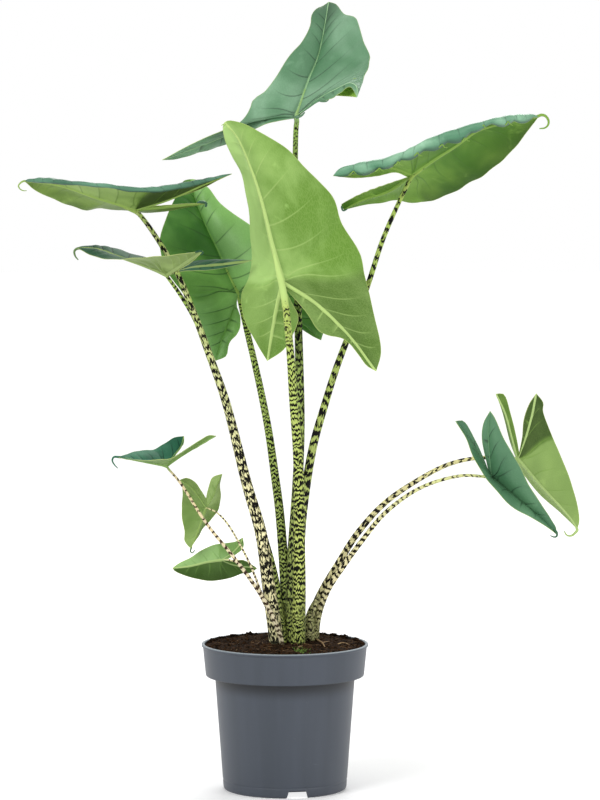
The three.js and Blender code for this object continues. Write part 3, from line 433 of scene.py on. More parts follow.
# How far side veins sweep towards the tip on their way out, at shares of the margin
VEIN_SHIFT = ([0, 0.2, 0.28, 0.36, 0.43, 0.49, 0.57, 0.64, 0.75, 0.9, 1],
              [0, -0.01, 0.015, 0.06, 0.08, 0.146, 0.1, 0.06, 0.045, 0.02, 0])
# Shares of the margin where the side veins leave the spine of the first and the second half, shares of the
# lobe's vein where its inner side veins leave it, columns of points outside and inside, and the ribs' size
LARGE_BLADE = {
    "outer": ((0.47, 0.405, 0.335, 0.26, 0.19, 0.13, 0.08, 0.56, 0.7, 0.77, 0.84, 0.9),
              (0.485, 0.43, 0.36, 0.28, 0.2, 0.14, 0.09, 0.58, 0.72, 0.8, 0.87)),
    "inner": (0.2, 0.38, 0.54, 0.7), "columns": (15, 6), "ribs": 1,
}
SMALL_BLADE = {
    "outer": ((0.45, 0.35, 0.25, 0.16, 0.57, 0.74, 0.85), (0.47, 0.37, 0.27, 0.18, 0.57, 0.76, 0.87)),
    "inner": (0.3, 0.55), "columns": (9, 3), "ribs": 0.5,
}

STEM_SIDES = 24
STEM_RING_GAP = 3
# Where a stem's end runs under the blade's midrib: share of the midrib, and depth in radii of the stem
STEM_RUN = ((0, 0.75), (0.06, 0.55), (0.14, 0.2), (0.22, -0.2))
STEM_END = 0.35  # radius of the very end, as a share of what it would be
SMALL_STEM_END = 0.21  # the same for a small leaf
RNG = np.random.default_rng(7)


# Lines and sheets

def smooth(low, high, x):
    """0 up to low, 1 from high on, and a soft step between."""
    t = np.clip((np.asarray(x, float) - low) / (high - low), 0, 1)
    return t * t * (3 - 2 * t)


def unit(vectors):
    return vectors / np.maximum(np.linalg.norm(vectors, axis=-1, keepdims=True), 1e-9)


def through(points, share):
    """Points of a smooth curve through points[..., k, 3] at shares[..., m] of its spans."""
    ahead = 2 * points[..., :1, :] - points[..., 1:2, :]
    beyond = 2 * points[..., -1:, :] - points[..., -2:-1, :]
    points = np.concatenate([ahead, points, beyond], axis=-2)
    spans = points.shape[-2] - 3
    place = np.clip(share, 0, 1) * spans
    span = np.minimum(place.astype(int), spans - 1)
    w = (place - span)[..., None]
    p0, p1, p2, p3 = (np.take_along_axis(points, (span + i)[..., None], axis=-2) for i in range(4))
    d0, d1, d2 = (np.maximum(np.linalg.norm(b - a, axis=-1, keepdims=True), 1e-6) ** 0.5
                  for a, b in ((p0, p1), (p1, p2), (p2, p3)))
    leave = ((p1 - p0) / d0 - (p2 - p0) / (d0 + d1) + (p2 - p1) / d1) * d1
    arrive = ((p2 - p1) / d1 - (p3 - p1) / (d1 + d2) + (p3 - p2) / d2) * d1
    bend = 3 * (p2 - p1) - 2 * leave - arrive
    return p1 + w * leave + w ** 2 * bend + w ** 3 * (2 * (p1 - p2) + leave + arrive)


class Line:
    """A smooth line through points, read by shares of its length."""

    def __init__(self, points):
        points = np.array(points, float)
        self.points = through(points, np.linspace(0, 1, 60 * (len(points) - 1) + 1))
        pieces = np.linalg.norm(np.diff(self.points, axis=0), axis=1)
        self.reach = np.concatenate([[0], np.cumsum(pieces)])
        self.length = self.reach[-1]

    def at(self, share):
        place = np.asarray(share, float) * self.length
        return np.stack([np.interp(place, self.reach, self.points[:, i]) for i in range(3)], axis=-1)


def lay_across(leaf, spine, margin, brow, along, share, out, turn, waved=0.5, swell=1):
    """Points of a sheet `out` of the way from the spine to the margin: bowed, rolled over and waved."""
    width = np.linalg.norm(margin - spine, axis=-1, keepdims=True)
    length = np.linalg.norm(along, axis=-1, keepdims=True)
    lift = np.cross(margin - spine, along) * turn / np.maximum(width * length, 1e-6)
    bow = leaf["puff"] * np.minimum(1, width / FULL_BOW_WIDTH) * smooth(0, 0.1, share)[..., None]
    belly = (spine + (margin if brow is None else brow)) / 2 + lift * bow
    stations = [spine, belly, margin]
    if brow is not None:
        roll = margin - brow
        bulge = (brow + margin) / 2 - belly
        square = np.maximum(np.sum(roll ** 2, -1, keepdims=True), 1e-6)
        bulge -= roll * (np.sum(bulge * roll, -1, keepdims=True) / square)
        bulge = unit(bulge) * ROLL_BULGE * swell * np.linalg.norm(roll, axis=-1, keepdims=True)
        stations = [spine, belly, brow, (brow + margin) / 2 + bulge, margin]
    points = through(np.stack(stations, axis=-2), out[..., None])[..., 0, :]
    wave = waved * leaf["wave"] * np.sin(math.pi * share) * np.sin(math.tau * leaf["waves"] * share + turn)
    ripple = RIPPLE * waved * leaf["wave"] * np.sin(math.pi * share)
    ripple = ripple * np.sin(math.tau * RIPPLES * share + 2 * turn)
    return points + lift * (wave * out ** 3 + ripple * out ** 6)[..., None]


class Half:
    """One half of a blade, from its spine (midrib and lobe's vein) out to the margin and in to the cleft."""

    def __init__(self, leaf, half, turn):
        tip, lobe_tip = leaf["rib"][-1], half["margin"][-1]
        self.leaf, self.turn = leaf, turn
        self.rib = Line(leaf["rib"])
        self.vein = Line([leaf["rib"][0], *half["vein"], lobe_tip])
        self.margin = Line([tip, *half["margin"]])
        self.brow = Line([tip, *half["brow"], lobe_tip]) if "brow" in half else None
        self.cleft = Line([*half["inner"], lobe_tip])
        self.scallops = half.get("scallops")
        self.hem = half.get("hem")

    def spine(self, share):
        rib = self.rib.at(1 - np.minimum(share, SHOULDER_SHARE) / SHOULDER_SHARE)
        vein = self.vein.at(np.maximum(share - HEEL_SHARE, 0) / (1 - HEEL_SHARE))
        return np.where((np.asarray(share) < HEEL_SHARE)[..., None], rib, vein)

    def cusp(self, share):
        """1 where two scallops of a rolled margin meet, falling to 0 between."""
        if self.scallops is None:
            return 0 * share
        first, apart = self.scallops
        return 1 - np.abs(np.sin(math.pi * (share - first) / apart))

    def outer(self, share, out):
        """Points at shares of the margin, `out` of the way from the spine to it."""
        spine, margin = self.spine(share), self.margin.at(share)
        if self.scallops is not None:
            down = unit(margin - self.brow.at(share))
            margin = margin + down * ((0.45 - self.cusp(share)) * SCALLOP * smooth(0, 0.06, share))[..., None]
        step = np.where(share < 0.99, 0.01, -0.01)
        along = self.spine(share + step) + self.margin.at(share + step) - spine - self.margin.at(share)
        brow = None if self.brow is None else self.brow.at(share)
        swell = (1.2 - 0.9 * self.cusp(share))[..., None]
        along = along * np.sign(step)[..., None]
        return lay_across(self.leaf, spine, margin, brow, along, share, out, self.turn, swell=swell)

    def inner(self, share, out):
        """Points at shares of the lobe's vein, `out` of the way from it to the edge at the cleft."""
        spine, margin = self.vein.at(share), self.cleft.at(share)
        step = np.where(share < 0.98, 0.02, -0.02)
        along = self.vein.at(share + step) + self.cleft.at(share + step) - spine - margin
        along = along * np.sign(step)[..., None]
        return lay_across(self.leaf, spine, margin, None, along, share, out, -self.turn, 0.3)

    def reach(self, share):
        """How far it is from the spine to the margin, or past a rolled margin's brow."""
        if self.brow is None:
            return np.linalg.norm(self.margin.at(share) - self.spine(share), axis=-1)
        return 2 * np.linalg.norm(self.brow.at(share) - self.spine(share), axis=-1)


def both_halves(leaf):
    return [Half(leaf, half, turn) for half, turn in zip(leaf["halves"], (1, -1))]


def vein_size(share, at_heel, at_tip):
    """A size that falls along the midrib to the drip tip and along the lobe's vein to the lobe's tip."""
    heel = at_heel * LOBE_RIB
    return np.interp(share, [0, SHOULDER_SHARE, HEEL_SHARE, 1], [at_tip, at_heel, heel, at_tip])


def row_shares(halves, veins):
    """Where the rows of a blade leave the midrib and the lobes' veins: close together beside a vein."""
    per_mm = np.mean([[SHOULDER_SHARE / h.rib.length, HEEL_PER_MM, (1 - HEEL_SHARE) / h.vein.length]
                      for h in halves], 0)
    zones = ((0, SHOULDER_SHARE), (SHOULDER_SHARE, HEEL_SHARE), (HEEL_SHARE, 1))
    shares = [np.linspace(low, high, math.ceil((high - low) / (ROW_GAP * step)) + 1)
              for (low, high), step in zip(zones, per_mm)]
    for row in (r for side in veins["outer"] for r in side):
        zone = next(i for i, (low, high) in enumerate(zones) if row <= high)
        shares.append(row + np.array(CLOSE_ROWS) * per_mm[zone])
    shares.append(HEEL_SHARE + np.array(veins["inner"]) * (1 - HEEL_SHARE))
    for first, apart in (h.scallops for h in halves if h.scallops):
        cusps = first + apart * np.arange(-1, 1 / apart)
        shares += [cusps + row * apart for row in CUSP_ROWS]
    shares = np.unique(np.round(np.clip(np.concatenate(shares), 0, 1), 5))
    fixed = np.isin(shares, np.round([0, SHOULDER_SHARE, HEEL_SHARE, 1], 5))
    keep = [0]
    for i in range(1, len(shares)):
        gap = shares[i] - shares[keep[-1]]
        if fixed[i] and not fixed[keep[-1]] and gap < LEAST_ROW_GAP:
            keep[-1] = i
        elif fixed[i] or gap > LEAST_ROW_GAP:
            keep.append(i)
    return shares[keep]


def column_places(width, rib, count):
    """Shares of the way out of a row's points: close together on the rib and at the margin."""
    width = np.maximum(width, 1e-6)[:, None]
    near = np.array(RIB_COLUMNS) * rib[:, None]
    near = np.minimum(near / width, np.arange(5) / (count + 6))
    far = 1 - np.minimum(np.array(MARGIN_COLUMNS) / width, np.array([2, 1, 0]) / (count + 6))
    between = np.linspace(0, 1, count + 2)[1:-1]
    middle = near[:, -1:] + (far[:, :1] - near[:, -1:]) * between
    return np.concatenate([near, middle, far], axis=1)


def vein_relief(points, rows, out, veins):
    """How strongly a side vein runs at each point, and how far the blade puffs up between two of them."""
    spread = np.linalg.norm(np.gradient(points, rows, axis=0), axis=-1)
    wide = 0.95 - 0.5 * out
    fade = 1 - smooth(0.35, 0.95, out)
    vein = np.zeros(out.shape)
    for row in veins:
        vein = np.maximum(vein, fade * np.exp(-((rows[:, None] - row) * spread / wide) ** 2))
    bounds = np.unique(np.concatenate([[0, 1], veins]))
    gap = np.interp(rows, bounds, np.arange(len(bounds))) % 1
    puff = (np.sin(math.pi * gap) ** 2)[:, None] * smooth(0, 0.15, out) * (1 - smooth(0.75, 1, out))
    return vein, puff


def turned_hem(half, rows, edge_points):
    """The strip that turns under from the margin near a lobe's tip: rows from the margin to its own edge."""
    start = half.hem["from"]
    rows, near = rows[rows >= start], edge_points[rows >= start]
    far = Line([near[0], *half.hem["edge"]]).at((rows - start) / (1 - start))
    middle = (near + far) / 2 + np.array(half.hem["bulge"], float) * smooth(start, 0.9, rows)[:, None]
    out = np.linspace(0, 1, 8)
    stations = np.stack([near, middle, far], axis=-2)[:, None]
    points = through(stations, np.tile(out[None, :, None], (len(rows), 1, 1)))[..., 0, :]
    return rows, points, np.tile(out, (len(rows), 1)), np.linalg.norm(far - near, axis=-1)


def blade_patches(leaf):
    """Grids of points over a blade's middle sheet, each with what its two faces need to know."""
    veins = LARGE_BLADE if leaf["large"] else SMALL_BLADE
    size = veins["ribs"]
    halves = both_halves(leaf)
    rows = row_shares(halves, veins)
    lobe = rows[rows >= HEEL_SHARE]
    for side, half in enumerate(halves):
        rib = vein_size(rows, RIB_WIDTH[0] * size, RIB_WIDTH[1])
        width = half.reach(rows)
        out = column_places(width, rib, veins["columns"][0])
        shift = np.interp(rows, *VEIN_SHIFT)[:, None] * (2.6 * out - 1.6 * out ** 2)
        points = half.outer(rows[:, None] + shift, out)
        edge = (1 - out) * width[:, None] - 3 * half.cusp(rows)[:, None] ** 4
        if half.hem:
            edge += 20 * smooth(half.hem["from"] - 0.03, half.hem["from"], rows)[:, None]
        yield half.turn, rows, points, out, width, rib, veins["outer"][side], size, side, edge
        if half.hem:
            hem_rows, hem_points, hem_out, hem_width = turned_hem(half, rows, points[:, -1])
            edge = np.minimum((1 - hem_out) * hem_width[:, None], 80 * (1 - hem_rows)[:, None])
            none = np.full(len(hem_rows), 1e-3)
            yield half.turn, hem_rows, hem_points, hem_out, hem_width, none, [], size, 4 + side, edge
        t = (lobe - HEEL_SHARE) / (1 - HEEL_SHARE)
        rib, width = rib[rows >= HEEL_SHARE], np.linalg.norm(half.cleft.at(t) - half.vein.at(t), axis=-1)
        out = column_places(width, rib, veins["columns"][1])
        points = half.inner(np.repeat(t[:, None], out.shape[1], axis=1), out)
        lobe_veins = [HEEL_SHARE + v * (1 - HEEL_SHARE) for v in veins["inner"]]
        edge = (1 - out) * width[:, None]
        yield -half.turn, lobe, points, out, width, rib, lobe_veins, size, 2 + side, edge


def blade_shading(leaf, side, rows, out):
    """How much lighter, up to 1, or darker, down to -1, a half is painted at its spine, its margin and its
    lobe: painted light and shade.
    """
    if side > 3 or "shading_tones" not in leaf:
        return 0 * out
    spine, margin, lobe = leaf["shading_tones"][side % 2]
    far = smooth(0.5, 0.64, rows)[:, None]
    tone = (spine + (margin - spine) * (out if side < 2 else 0 * out)) * (1 - far) + lobe * far
    tone = tone + leaf.get("tip_shading", 0) * (1 - smooth(0.02, 0.26, rows))[:, None]
    # A rolled margin is painted a little lighter at its brow and darker towards its free edge: painted shade
    # under the roll.
    if side < 2 and "brow" in leaf["halves"][side]:
        tone = np.where(out > 0.5, 0.15 - 0.9 * smooth(0.6, 0.98, out) + 0 * rows[:, None], tone)
    return tone


def blade_sheet(leaf):
    """A blade's middle sheet as points, faces seen from above, and a table of values at the points."""
    found = {key: [] for key in ("point", "rib", "ridge", "vein", "puff", "edge", "tone", "place")}
    faces, start = [], 0
    for turn, rows, points, out, width, rib, veins, size, side, edge in blade_patches(leaf):
        far = out * width[:, None]
        vein, puff = vein_relief(points, rows, out, veins)
        height = vein_size(rows, RIB_HEIGHT[0] * size, RIB_HEIGHT[1])[:, None]
        values = {
            "point": points, "rib": np.clip(1 - far / (2.2 * rib[:, None]), 0, 1), "vein": vein,
            "puff": puff * size * np.clip(width[:, None] / 24, 0, 1),
            "ridge": height * np.sqrt(np.clip(1 - (far / (1.15 * rib[:, None])) ** 2, 0, 1)),
            "edge": edge,
            "tone": blade_shading(leaf, side, rows, out),
            "place": np.stack([rows[:, None] * SKIN_LENGTH + 0 * out, far,
                               np.full(out.shape, float(SKIN_APART * side))], -1),
        }
        for key, value in values.items():
            found[key].append(value.reshape(-1, *value.shape[2:]))
        numbers = start + np.arange(out.size).reshape(out.shape)
        a, b, c, d = numbers[:-1, :-1], numbers[1:, :-1], numbers[1:, 1:], numbers[:-1, 1:]
        patch = np.concatenate([np.stack(f, -1).reshape(-1, 3) for f in ((a, b, c), (a, c, d))])
        faces.append(patch[:, ::-1] if turn > 0 else patch)
        start += out.size
    found = {key: np.concatenate(value) for key, value in found.items()}
    _, first, number = np.unique(np.round(found["point"], 3), axis=0, return_index=True, return_inverse=True)
    number = number.reshape(-1)
    sheet = {key: value[first].copy() for key, value in found.items()}
    for key in ("rib", "ridge", "vein"):
        np.maximum.at(sheet[key], number, found[key])
    faces = number[np.concatenate(faces)]
    real = (faces[:, 0] != faces[:, 1]) & (faces[:, 1] != faces[:, 2]) & (faces[:, 2] != faces[:, 0])
    return sheet, faces[real]


# Meshes

def add_object(name, data):
    item = bpy.data.objects.new(name, data)
    bpy.context.scene.collection.objects.link(item)
    return item


def make_piece(name, points, faces, materials, slots=None, values=None, sharp=60):
    """An object from points in millimetres, with values kept at its points for its materials."""
    mesh = bpy.data.meshes.new(name)
    if isinstance(faces, np.ndarray):
        faces = faces.tolist()
    mesh.from_pydata((np.asarray(points) * MM).tolist(), [], faces)
    for material in materials:
        mesh.materials.append(material)
    if slots is not None:
        mesh.polygons.foreach_set("material_index", np.asarray(slots, dtype=np.int32))
    for key, value in (values or {}).items():
        flat = value.ndim == 1
        layer = mesh.attributes.new(key, "FLOAT" if flat else "FLOAT_VECTOR", "POINT")
        layer.data.foreach_set("value" if flat else "vector", value.astype(np.float32).ravel())
    mesh.shade_smooth()
    mesh.set_sharp_from_angle(angle=math.radians(sharp))
    piece = add_object(name, mesh)
    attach(piece, "root")
    return piece


def curl_radii(thick, thin):
    """Radii along a curl: soon at its thickest, then tapering to its point."""
    way = np.linspace(0, 1, CURL_RINGS)
    return (thin + (thick - thin) * (1 - way) ** 0.8) * (0.3 + 0.7 * smooth(0, 0.2, way))


def make_blade(name, leaf):
    """A blade: the middle sheet's two faces, the wall round its margin, and its curls."""
    sheet, faces = blade_sheet(leaf)
    points = sheet["point"]
    corners = points[faces]
    face_normals = np.cross(corners[:, 1] - corners[:, 0], corners[:, 2] - corners[:, 0])
    normals = np.zeros(points.shape)
    for i in range(3):
        np.add.at(normals, faces[:, i], face_normals)
    normals = unit(normals)
    half = (MARGIN_BLADE + (BLADE - MARGIN_BLADE) * smooth(0, 6, sheet["edge"])) / 2
    on_rib = smooth(0.4, 0.6, sheet["rib"])
    groove = VEIN_GROOVE * sheet["vein"] + RIB_GROOVE * on_rib * smooth(0, 2, sheet["ridge"])
    above = half + QUILT * sheet["puff"] - groove
    below = half - QUILT * sheet["puff"] + sheet["ridge"] + VEIN_RIDGE * sheet["vein"] * (1 - on_rib)
    count = len(points)
    both = np.concatenate([points + normals * above[:, None], points - normals * below[:, None]])
    edges = np.concatenate([faces[:, [0, 1]], faces[:, [1, 2]], faces[:, [2, 0]]])
    keys = {tuple(e) for e in edges.tolist()}
    rim = np.array([e for e in edges.tolist() if (e[1], e[0]) not in keys])
    walls = np.concatenate([np.stack([rim[:, 1], rim[:, 0], count + rim[:, 0]], -1),
                            np.stack([rim[:, 1], count + rim[:, 0], count + rim[:, 1]], -1)])
    every = np.concatenate([faces, count + faces[:, ::-1], walls])
    slots = np.concatenate([np.zeros(len(faces)), np.ones(len(faces) + len(walls))])
    values = {key: np.concatenate([sheet[key]] * 2) for key in ("rib", "vein", "edge", "tone", "place")}
    for curl in leaf.get("curls", ()):
        way = Line(curl["path"]).at(np.linspace(0, 1, CURL_RINGS))
        rings, _ = tube(way, curl_radii(curl["thick"], curl["thin"]), CURL_SIDES)
        curl_faces = tube_triangles(CURL_RINGS, CURL_SIDES, len(both))
        both = np.concatenate([both, rings.reshape(-1, 3)])
        every = np.concatenate([every, curl_faces])
        slots = np.concatenate([slots, np.full(len(curl_faces), curl["face"])])
        for key, value in (("rib", curl["pale"]), ("vein", 0), ("edge", 5), ("tone", curl["tone"])):
            values[key] = np.concatenate([values[key], np.full(CURL_RINGS * CURL_SIDES, float(value))])
        values["place"] = np.concatenate([values["place"], rings.reshape(-1, 3)])
    values = {f"blade_{key}": value for key, value in values.items()}
    materials = [blade_upper(name), blade_under(name)]
    piece = make_piece(f"blade_{name}", both, every, materials, slots, values)
    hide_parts(f"leaf_{name}")
    return piece


def stem_path(shoot, name, stem):
    """The middle line of a stem from the peat to a little way along the blade's midrib, with its radii."""
    leaf = LEAVES[name]
    x, y, _ = shoot["foot"]
    first = np.array(stem["route"][0], float)
    root = np.array([x, y, 0]) + (first - [x, y, 0]) * ROOT_SPREAD
    root[2] = PEAT_TOP - PEAT_DEPTH
    rib = Line(leaf["rib"])
    near = rib.at(0.1)
    up = unit(sum(unit(np.cross(h.margin.at(0.45) - near, rib.at(0) - near)) * h.turn
                  for h in both_halves(leaf)))
    thin = stem["thin"]
    end = STEM_END if leaf["large"] else SMALL_STEM_END
    run = [rib.at(share) - up * thin * sink for share, sink in STEM_RUN]
    line = Line([root, *stem["route"], *run])
    stop = Line([root, *stem["route"], run[0]]).length
    rings = math.ceil(line.length / STEM_RING_GAP)
    reach = np.linspace(0, 1, rings + 1)
    share = np.minimum(reach * line.length / stop, 1)
    radius = thin + (stem["thick"] - thin) * (1 - share) ** STEM_TAPER
    radius *= 1 - (1 - end) * smooth(stop, line.length, reach * line.length)
    return line.at(reach), radius, reach * line.length, share


def tube(path, radius, sides):
    """Rings of points round a path, kept from twisting, with the angle of each point."""
    ahead = unit(np.gradient(path, axis=0))
    side = unit(np.cross(ahead[0], [0.2, 1, 0.1]))
    angle = np.arange(sides) / sides * math.tau
    rings = []
    for centre, way, r in zip(path, ahead, radius):
        side = unit(side - way * np.dot(side, way))
        up = np.cross(way, side)
        rings.append(centre + r * (np.cos(angle)[:, None] * side + np.sin(angle)[:, None] * up))
    return np.array(rings), angle


def ring_points(radius, height, angle):
    """Points on rings round the upright axis."""
    return np.stack([radius * np.cos(angle), radius * np.sin(angle), height + 0 * angle], -1)


def ring_faces(rings, sides, start=0, over=False):
    """Faces between neighbouring rings of points, turned over where that is asked."""
    at = lambda i, s: start + i * sides + s % sides
    faces = [(at(i, s), at(i, s + 1), at(i + 1, s + 1), at(i + 1, s))
             for i in range(rings - 1) for s in range(sides)]
    return [(a, d, c, b) for a, b, c, d in faces] if over else faces


def fan(tip, first, sides, over=False):
    """Faces from one point to a ring of points."""
    pairs = [(first + s, first + (s + 1) % sides) for s in range(sides)]
    return [(tip, b, a) if over else (tip, a, b) for a, b in pairs]


def tube_faces(rings, sides, start=0):
    """Faces of a tube: those between its rings, then its two ends."""
    last = start + (rings - 1) * sides
    ends = [tuple(reversed(range(start, start + sides))), tuple(range(last, last + sides))]
    return ring_faces(rings, sides, start) + ends


def tube_triangles(rings, sides, start):
    faces = tube_faces(rings, sides, start)
    return np.array([(face[0], face[i], face[i + 1]) for face in faces for i in range(1, len(face) - 1)])


def shoot_tubes(shoot):
    """The stems of a shoot and the sheath round its foot: whose skin, path, radii, lengths and reach."""
    for number, (leaf_name, stem) in enumerate(shoot["stems"].items()):
        yield number, *stem_path(shoot, leaf_name, stem)
    if "sheath" in shoot:
        sheath = shoot["sheath"]
        line = Line(sheath["route"])
        reach = np.linspace(0, 1, math.ceil(line.length / STEM_RING_GAP) + 1)
        radius = sheath["thin"] + (sheath["thick"] - sheath["thin"]) * np.sqrt(1 - reach ** 2)
        yield sheath["skin"], line.at(reach), radius, reach * line.length, 0.1 * reach


def make_shoot(name, shoot):
    """A shoot's stems as one piece, with what their marks need to know kept at its points."""
    points, faces, slots, places, reaches = [], [], [], [], []
    start = 0
    for number, path, radius, length, share in shoot_tubes(shoot):
        rings, angle = tube(path, radius, STEM_SIDES)
        place = ring_points(radius[:, None], length[:, None], angle)
        tube_set = tube_faces(len(path), STEM_SIDES, start)
        points.append(rings.reshape(-1, 3))
        places.append(place.reshape(-1, 3))
        reaches.append(np.repeat(share, STEM_SIDES))
        faces += tube_set
        slots += [number] * len(tube_set)
        start += STEM_SIDES * len(path)
    values = {"stem_place": np.concatenate(places), "stem_reach": np.concatenate(reaches)}
    materials = [stem_skin(leaf_name) for leaf_name in shoot["stems"]]
    piece = make_piece(f"{name}_shoot", np.concatenate(points), faces, materials, slots, values)
    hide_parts(f"stems_{name}")
    return piece


# Materials

def colour(red, green, blue):
    """A screen colour, 0 to 255 each, as the light values that a shader takes."""
    light = (c / 3294.6 if c <= 10.31 else ((c / 255 + 0.055) / 1.055) ** 2.4 for c in (red, green, blue))
    return tuple(light) + (1,)


def shade(parts, factor, lift=0):
    """A screen colour made darker or lighter."""
    return tuple(min(255, factor * c + lift) for c in parts)


class Wires:
    """Adds nodes to one tree, each input fed by another node or by a plain value."""

    def __init__(self, tree):
        self.tree = tree

    def feed(self, socket, value):
        if isinstance(value, bpy.types.NodeSocket):
            self.tree.links.new(value, socket)
        else:
            socket.default_value = value

    def node(self, kind, settings=None, **feeds):
        node = self.tree.nodes.new(f"ShaderNode{kind}")
        for key, value in (settings or {}).items():
            setattr(node, key, value)
        for key, value in feeds.items():
            self.feed(node.inputs[key.replace("_", " ")], value)
        return node

    def math(self, operation, *values):
        node = self.node("Math", {"operation": operation})
        for socket, value in zip(node.inputs, values):
            self.feed(socket, value)
        return node.outputs[0]

    def step(self, value, low, high, start=0, end=1):
        """From start to end, softly, while the value goes from low to high."""
        return self.node("MapRange", {"interpolation_type": "SMOOTHSTEP"}, Value=value,
                         From_Min=low, From_Max=high, To_Min=start, To_Max=end).outputs[0]

    def vectors(self, operation, a, b):
        node = self.node("VectorMath", {"operation": operation})
        for socket, value in zip(node.inputs, (a, b)):
            self.feed(socket, value)
        return node.outputs[0]

    def times(self, vector, factors):
        return self.vectors("MULTIPLY", vector, factors)

    def plus(self, vector, step):
        return self.vectors("ADD", vector, step)

    def noise(self, place, scale, detail=2, roughness=0.5, distortion=0):
        return self.node("TexNoise", Vector=place, Scale=scale, Detail=detail, Roughness=roughness,
                         Distortion=distortion).outputs["Fac"]

    def mix(self, share, a, b, kind="RGBA"):
        """A mix of two colours, or of two plain values."""
        node = self.node("Mix", {"data_type": kind})
        first, result = {"RGBA": (6, 2), "FLOAT": (2, 0)}[kind]
        for socket, value in zip((node.inputs[0], node.inputs[first], node.inputs[first + 1]), (share, a, b)):
            self.feed(socket, value)
        return node.outputs[result]

    def lay(self, base, over, share, strength=None):
        """A colour with a screen colour laid over it, by a share and at a strength."""
        share = share if strength is None else self.math("MULTIPLY", share, strength)
        return self.mix(share, base, colour(*over))

    def value(self, name):
        return self.node("Attribute", {"attribute_name": name}).outputs["Fac"]

    def vector(self, name):
        return self.node("Attribute", {"attribute_name": name}).outputs["Vector"]

    def object_place(self):
        return self.node("TexCoord").outputs["Object"]

    def effect(self, group, **feeds):
        node = self.tree.nodes.new("ShaderNodeGroup")
        node.node_tree = group
        for key, value in feeds.items():
            self.feed(node.inputs[key.replace("_", " ")], value)
        return node.outputs

    def bump(self, height, strength, distance):
        return self.node("Bump", Height=height, Strength=strength, Distance=distance).outputs[0]


def new_effect(name, inputs, outputs):
    """A node group with named inputs, the wires to fill it, and its outputs.

    An input without a first value is a vector, and the others are plain values."""
    tree = bpy.data.node_groups.new(name, "ShaderNodeTree")
    for key, value in inputs.items():
        kind = "NodeSocketVector" if value is None else "NodeSocketFloat"
        socket = tree.interface.new_socket(name=key, in_out="INPUT", socket_type=kind)
        if value is not None:
            socket.default_value = value
    for key in outputs:
        tree.interface.new_socket(name=key, in_out="OUTPUT", socket_type="NodeSocketFloat")
    given, result = (tree.nodes.new(f"NodeGroup{kind}") for kind in ("Input", "Output"))
    return Wires(tree), given.outputs, result.inputs, tree


def new_material(name, **finish):
    """A material of its own principled shader, with its constant values set on the shader's sockets."""
    material = bpy.data.materials.new(name)
    material.use_nodes = True
    shader = material.node_tree.nodes["Principled BSDF"]
    for key, value in finish.items():
        shader.inputs[key.replace("_", " ")].default_value = value
    return material, Wires(material.node_tree), shader.inputs


def zebra_marks_effect():
    """Dark bands across a stem, their edges torn into upright teeth, broken by strokes along the stem."""
    wires, given, result, tree = new_effect("zebra_marks", {
        "Place": None, "Spacing": 8, "Bend": 16, "Teeth": 14, "Break": 2, "Cover": 0.5, "Seed": 0},
        ["Mark", "Halo"])
    shift = wires.math("MULTIPLY", given["Seed"], 37)
    place = wires.plus(given["Place"], wires.node("CombineXYZ", X=shift, Y=shift, Z=shift).outputs[0])
    height = wires.node("SeparateXYZ", Vector=given["Place"]).outputs["Z"]
    centred = lambda factors, detail, roughness: wires.math(
        "SUBTRACT", wires.noise(wires.times(place, factors), 1, detail, roughness), 0.5)
    bend = wires.math("MULTIPLY", centred((0.13, 0.13, 0.06), 1, 0.5), given["Bend"])
    teeth = wires.math("MULTIPLY", centred((0.5, 0.5, 0.09), 2, 0.6), given["Teeth"])
    phase = wires.math("DIVIDE", wires.math("ADD", height, wires.math("ADD", bend, teeth)), given["Spacing"])
    bands = wires.math("MULTIPLY_ADD", wires.math("SINE", wires.math("MULTIPLY", phase, math.tau)), 0.5, 0.5)
    strokes = wires.math("MULTIPLY", centred((0.42, 0.42, 0.17), 3, 0.62), given["Break"])
    dark = wires.math("ADD", bands, wires.math("ADD", strokes, given["Cover"]))
    wires.feed(result["Mark"], wires.step(dark, 0.96, 1.05))
    wires.feed(result["Halo"], wires.step(dark, 0.66, 1.0))
    return tree


def leaf_tissue_effect():
    """Clouds of lighter green, partly the tissue's own mottling and partly painted soft highlights, a painted
    sheen, the net of the finest veins and a fine grain, over a blade.
    """
    wires, given, result, tree = new_effect("leaf_tissue", {"Place": None, "Object": None, "Clouds": 9},
                                            ["Cloud", "Painted sheen", "Net", "Grain"])
    # Clouds: lighter patches, partly the tissue's own mottled tone and partly painted soft highlights.
    cloud = wires.noise(given["Object"], given["Clouds"], 3, 0.55, 0.6)
    wires.feed(result["Cloud"], wires.step(cloud, 0.36, 0.68))
    # Painted sheen: patches of lighter colour that stand in for soft highlights on the waxy blade.
    sheen = wires.noise(wires.plus(given["Object"], (5, 2, 9)), 24, 3, 0.6, 0.8)
    wires.feed(result["Painted sheen"], wires.step(sheen, 0.6, 0.78, 0, 0.6))
    net = wires.node("TexVoronoi", {"feature": "DISTANCE_TO_EDGE"}, Scale=0.24,
                     Vector=wires.times(given["Place"], (1, 1.5, 1))).outputs["Distance"]
    wires.feed(result["Net"], wires.step(net, 0.02, 0.16, 1, 0))
    wires.feed(result["Grain"], wires.noise(given["Object"], 900, 2, 0.6))
    return tree


def moulded_skin_effect():
    """Upright streaks, fine grain and settled dust on moulded plastic."""
    wires, given, result, tree = new_effect("moulded_skin", {"Object": None},
                                            ["Streak", "Grain", "Dust", "Scuff"])
    wires.feed(result["Streak"], wires.noise(wires.times(given["Object"], (28, 28, 1.6)), 1, 3, 0.55))
    wires.feed(result["Grain"], wires.noise(given["Object"], 1400, 2, 0.6))
    wires.feed(result["Dust"], wires.step(wires.noise(given["Object"], 420, 4, 0.7), 0.66, 0.74))
    scuff = wires.noise(wires.times(given["Object"], (60, 60, 420)), 1, 4, 0.7, 0.8)
    wires.feed(result["Scuff"], wires.step(scuff, 0.66, 0.72))
    return tree


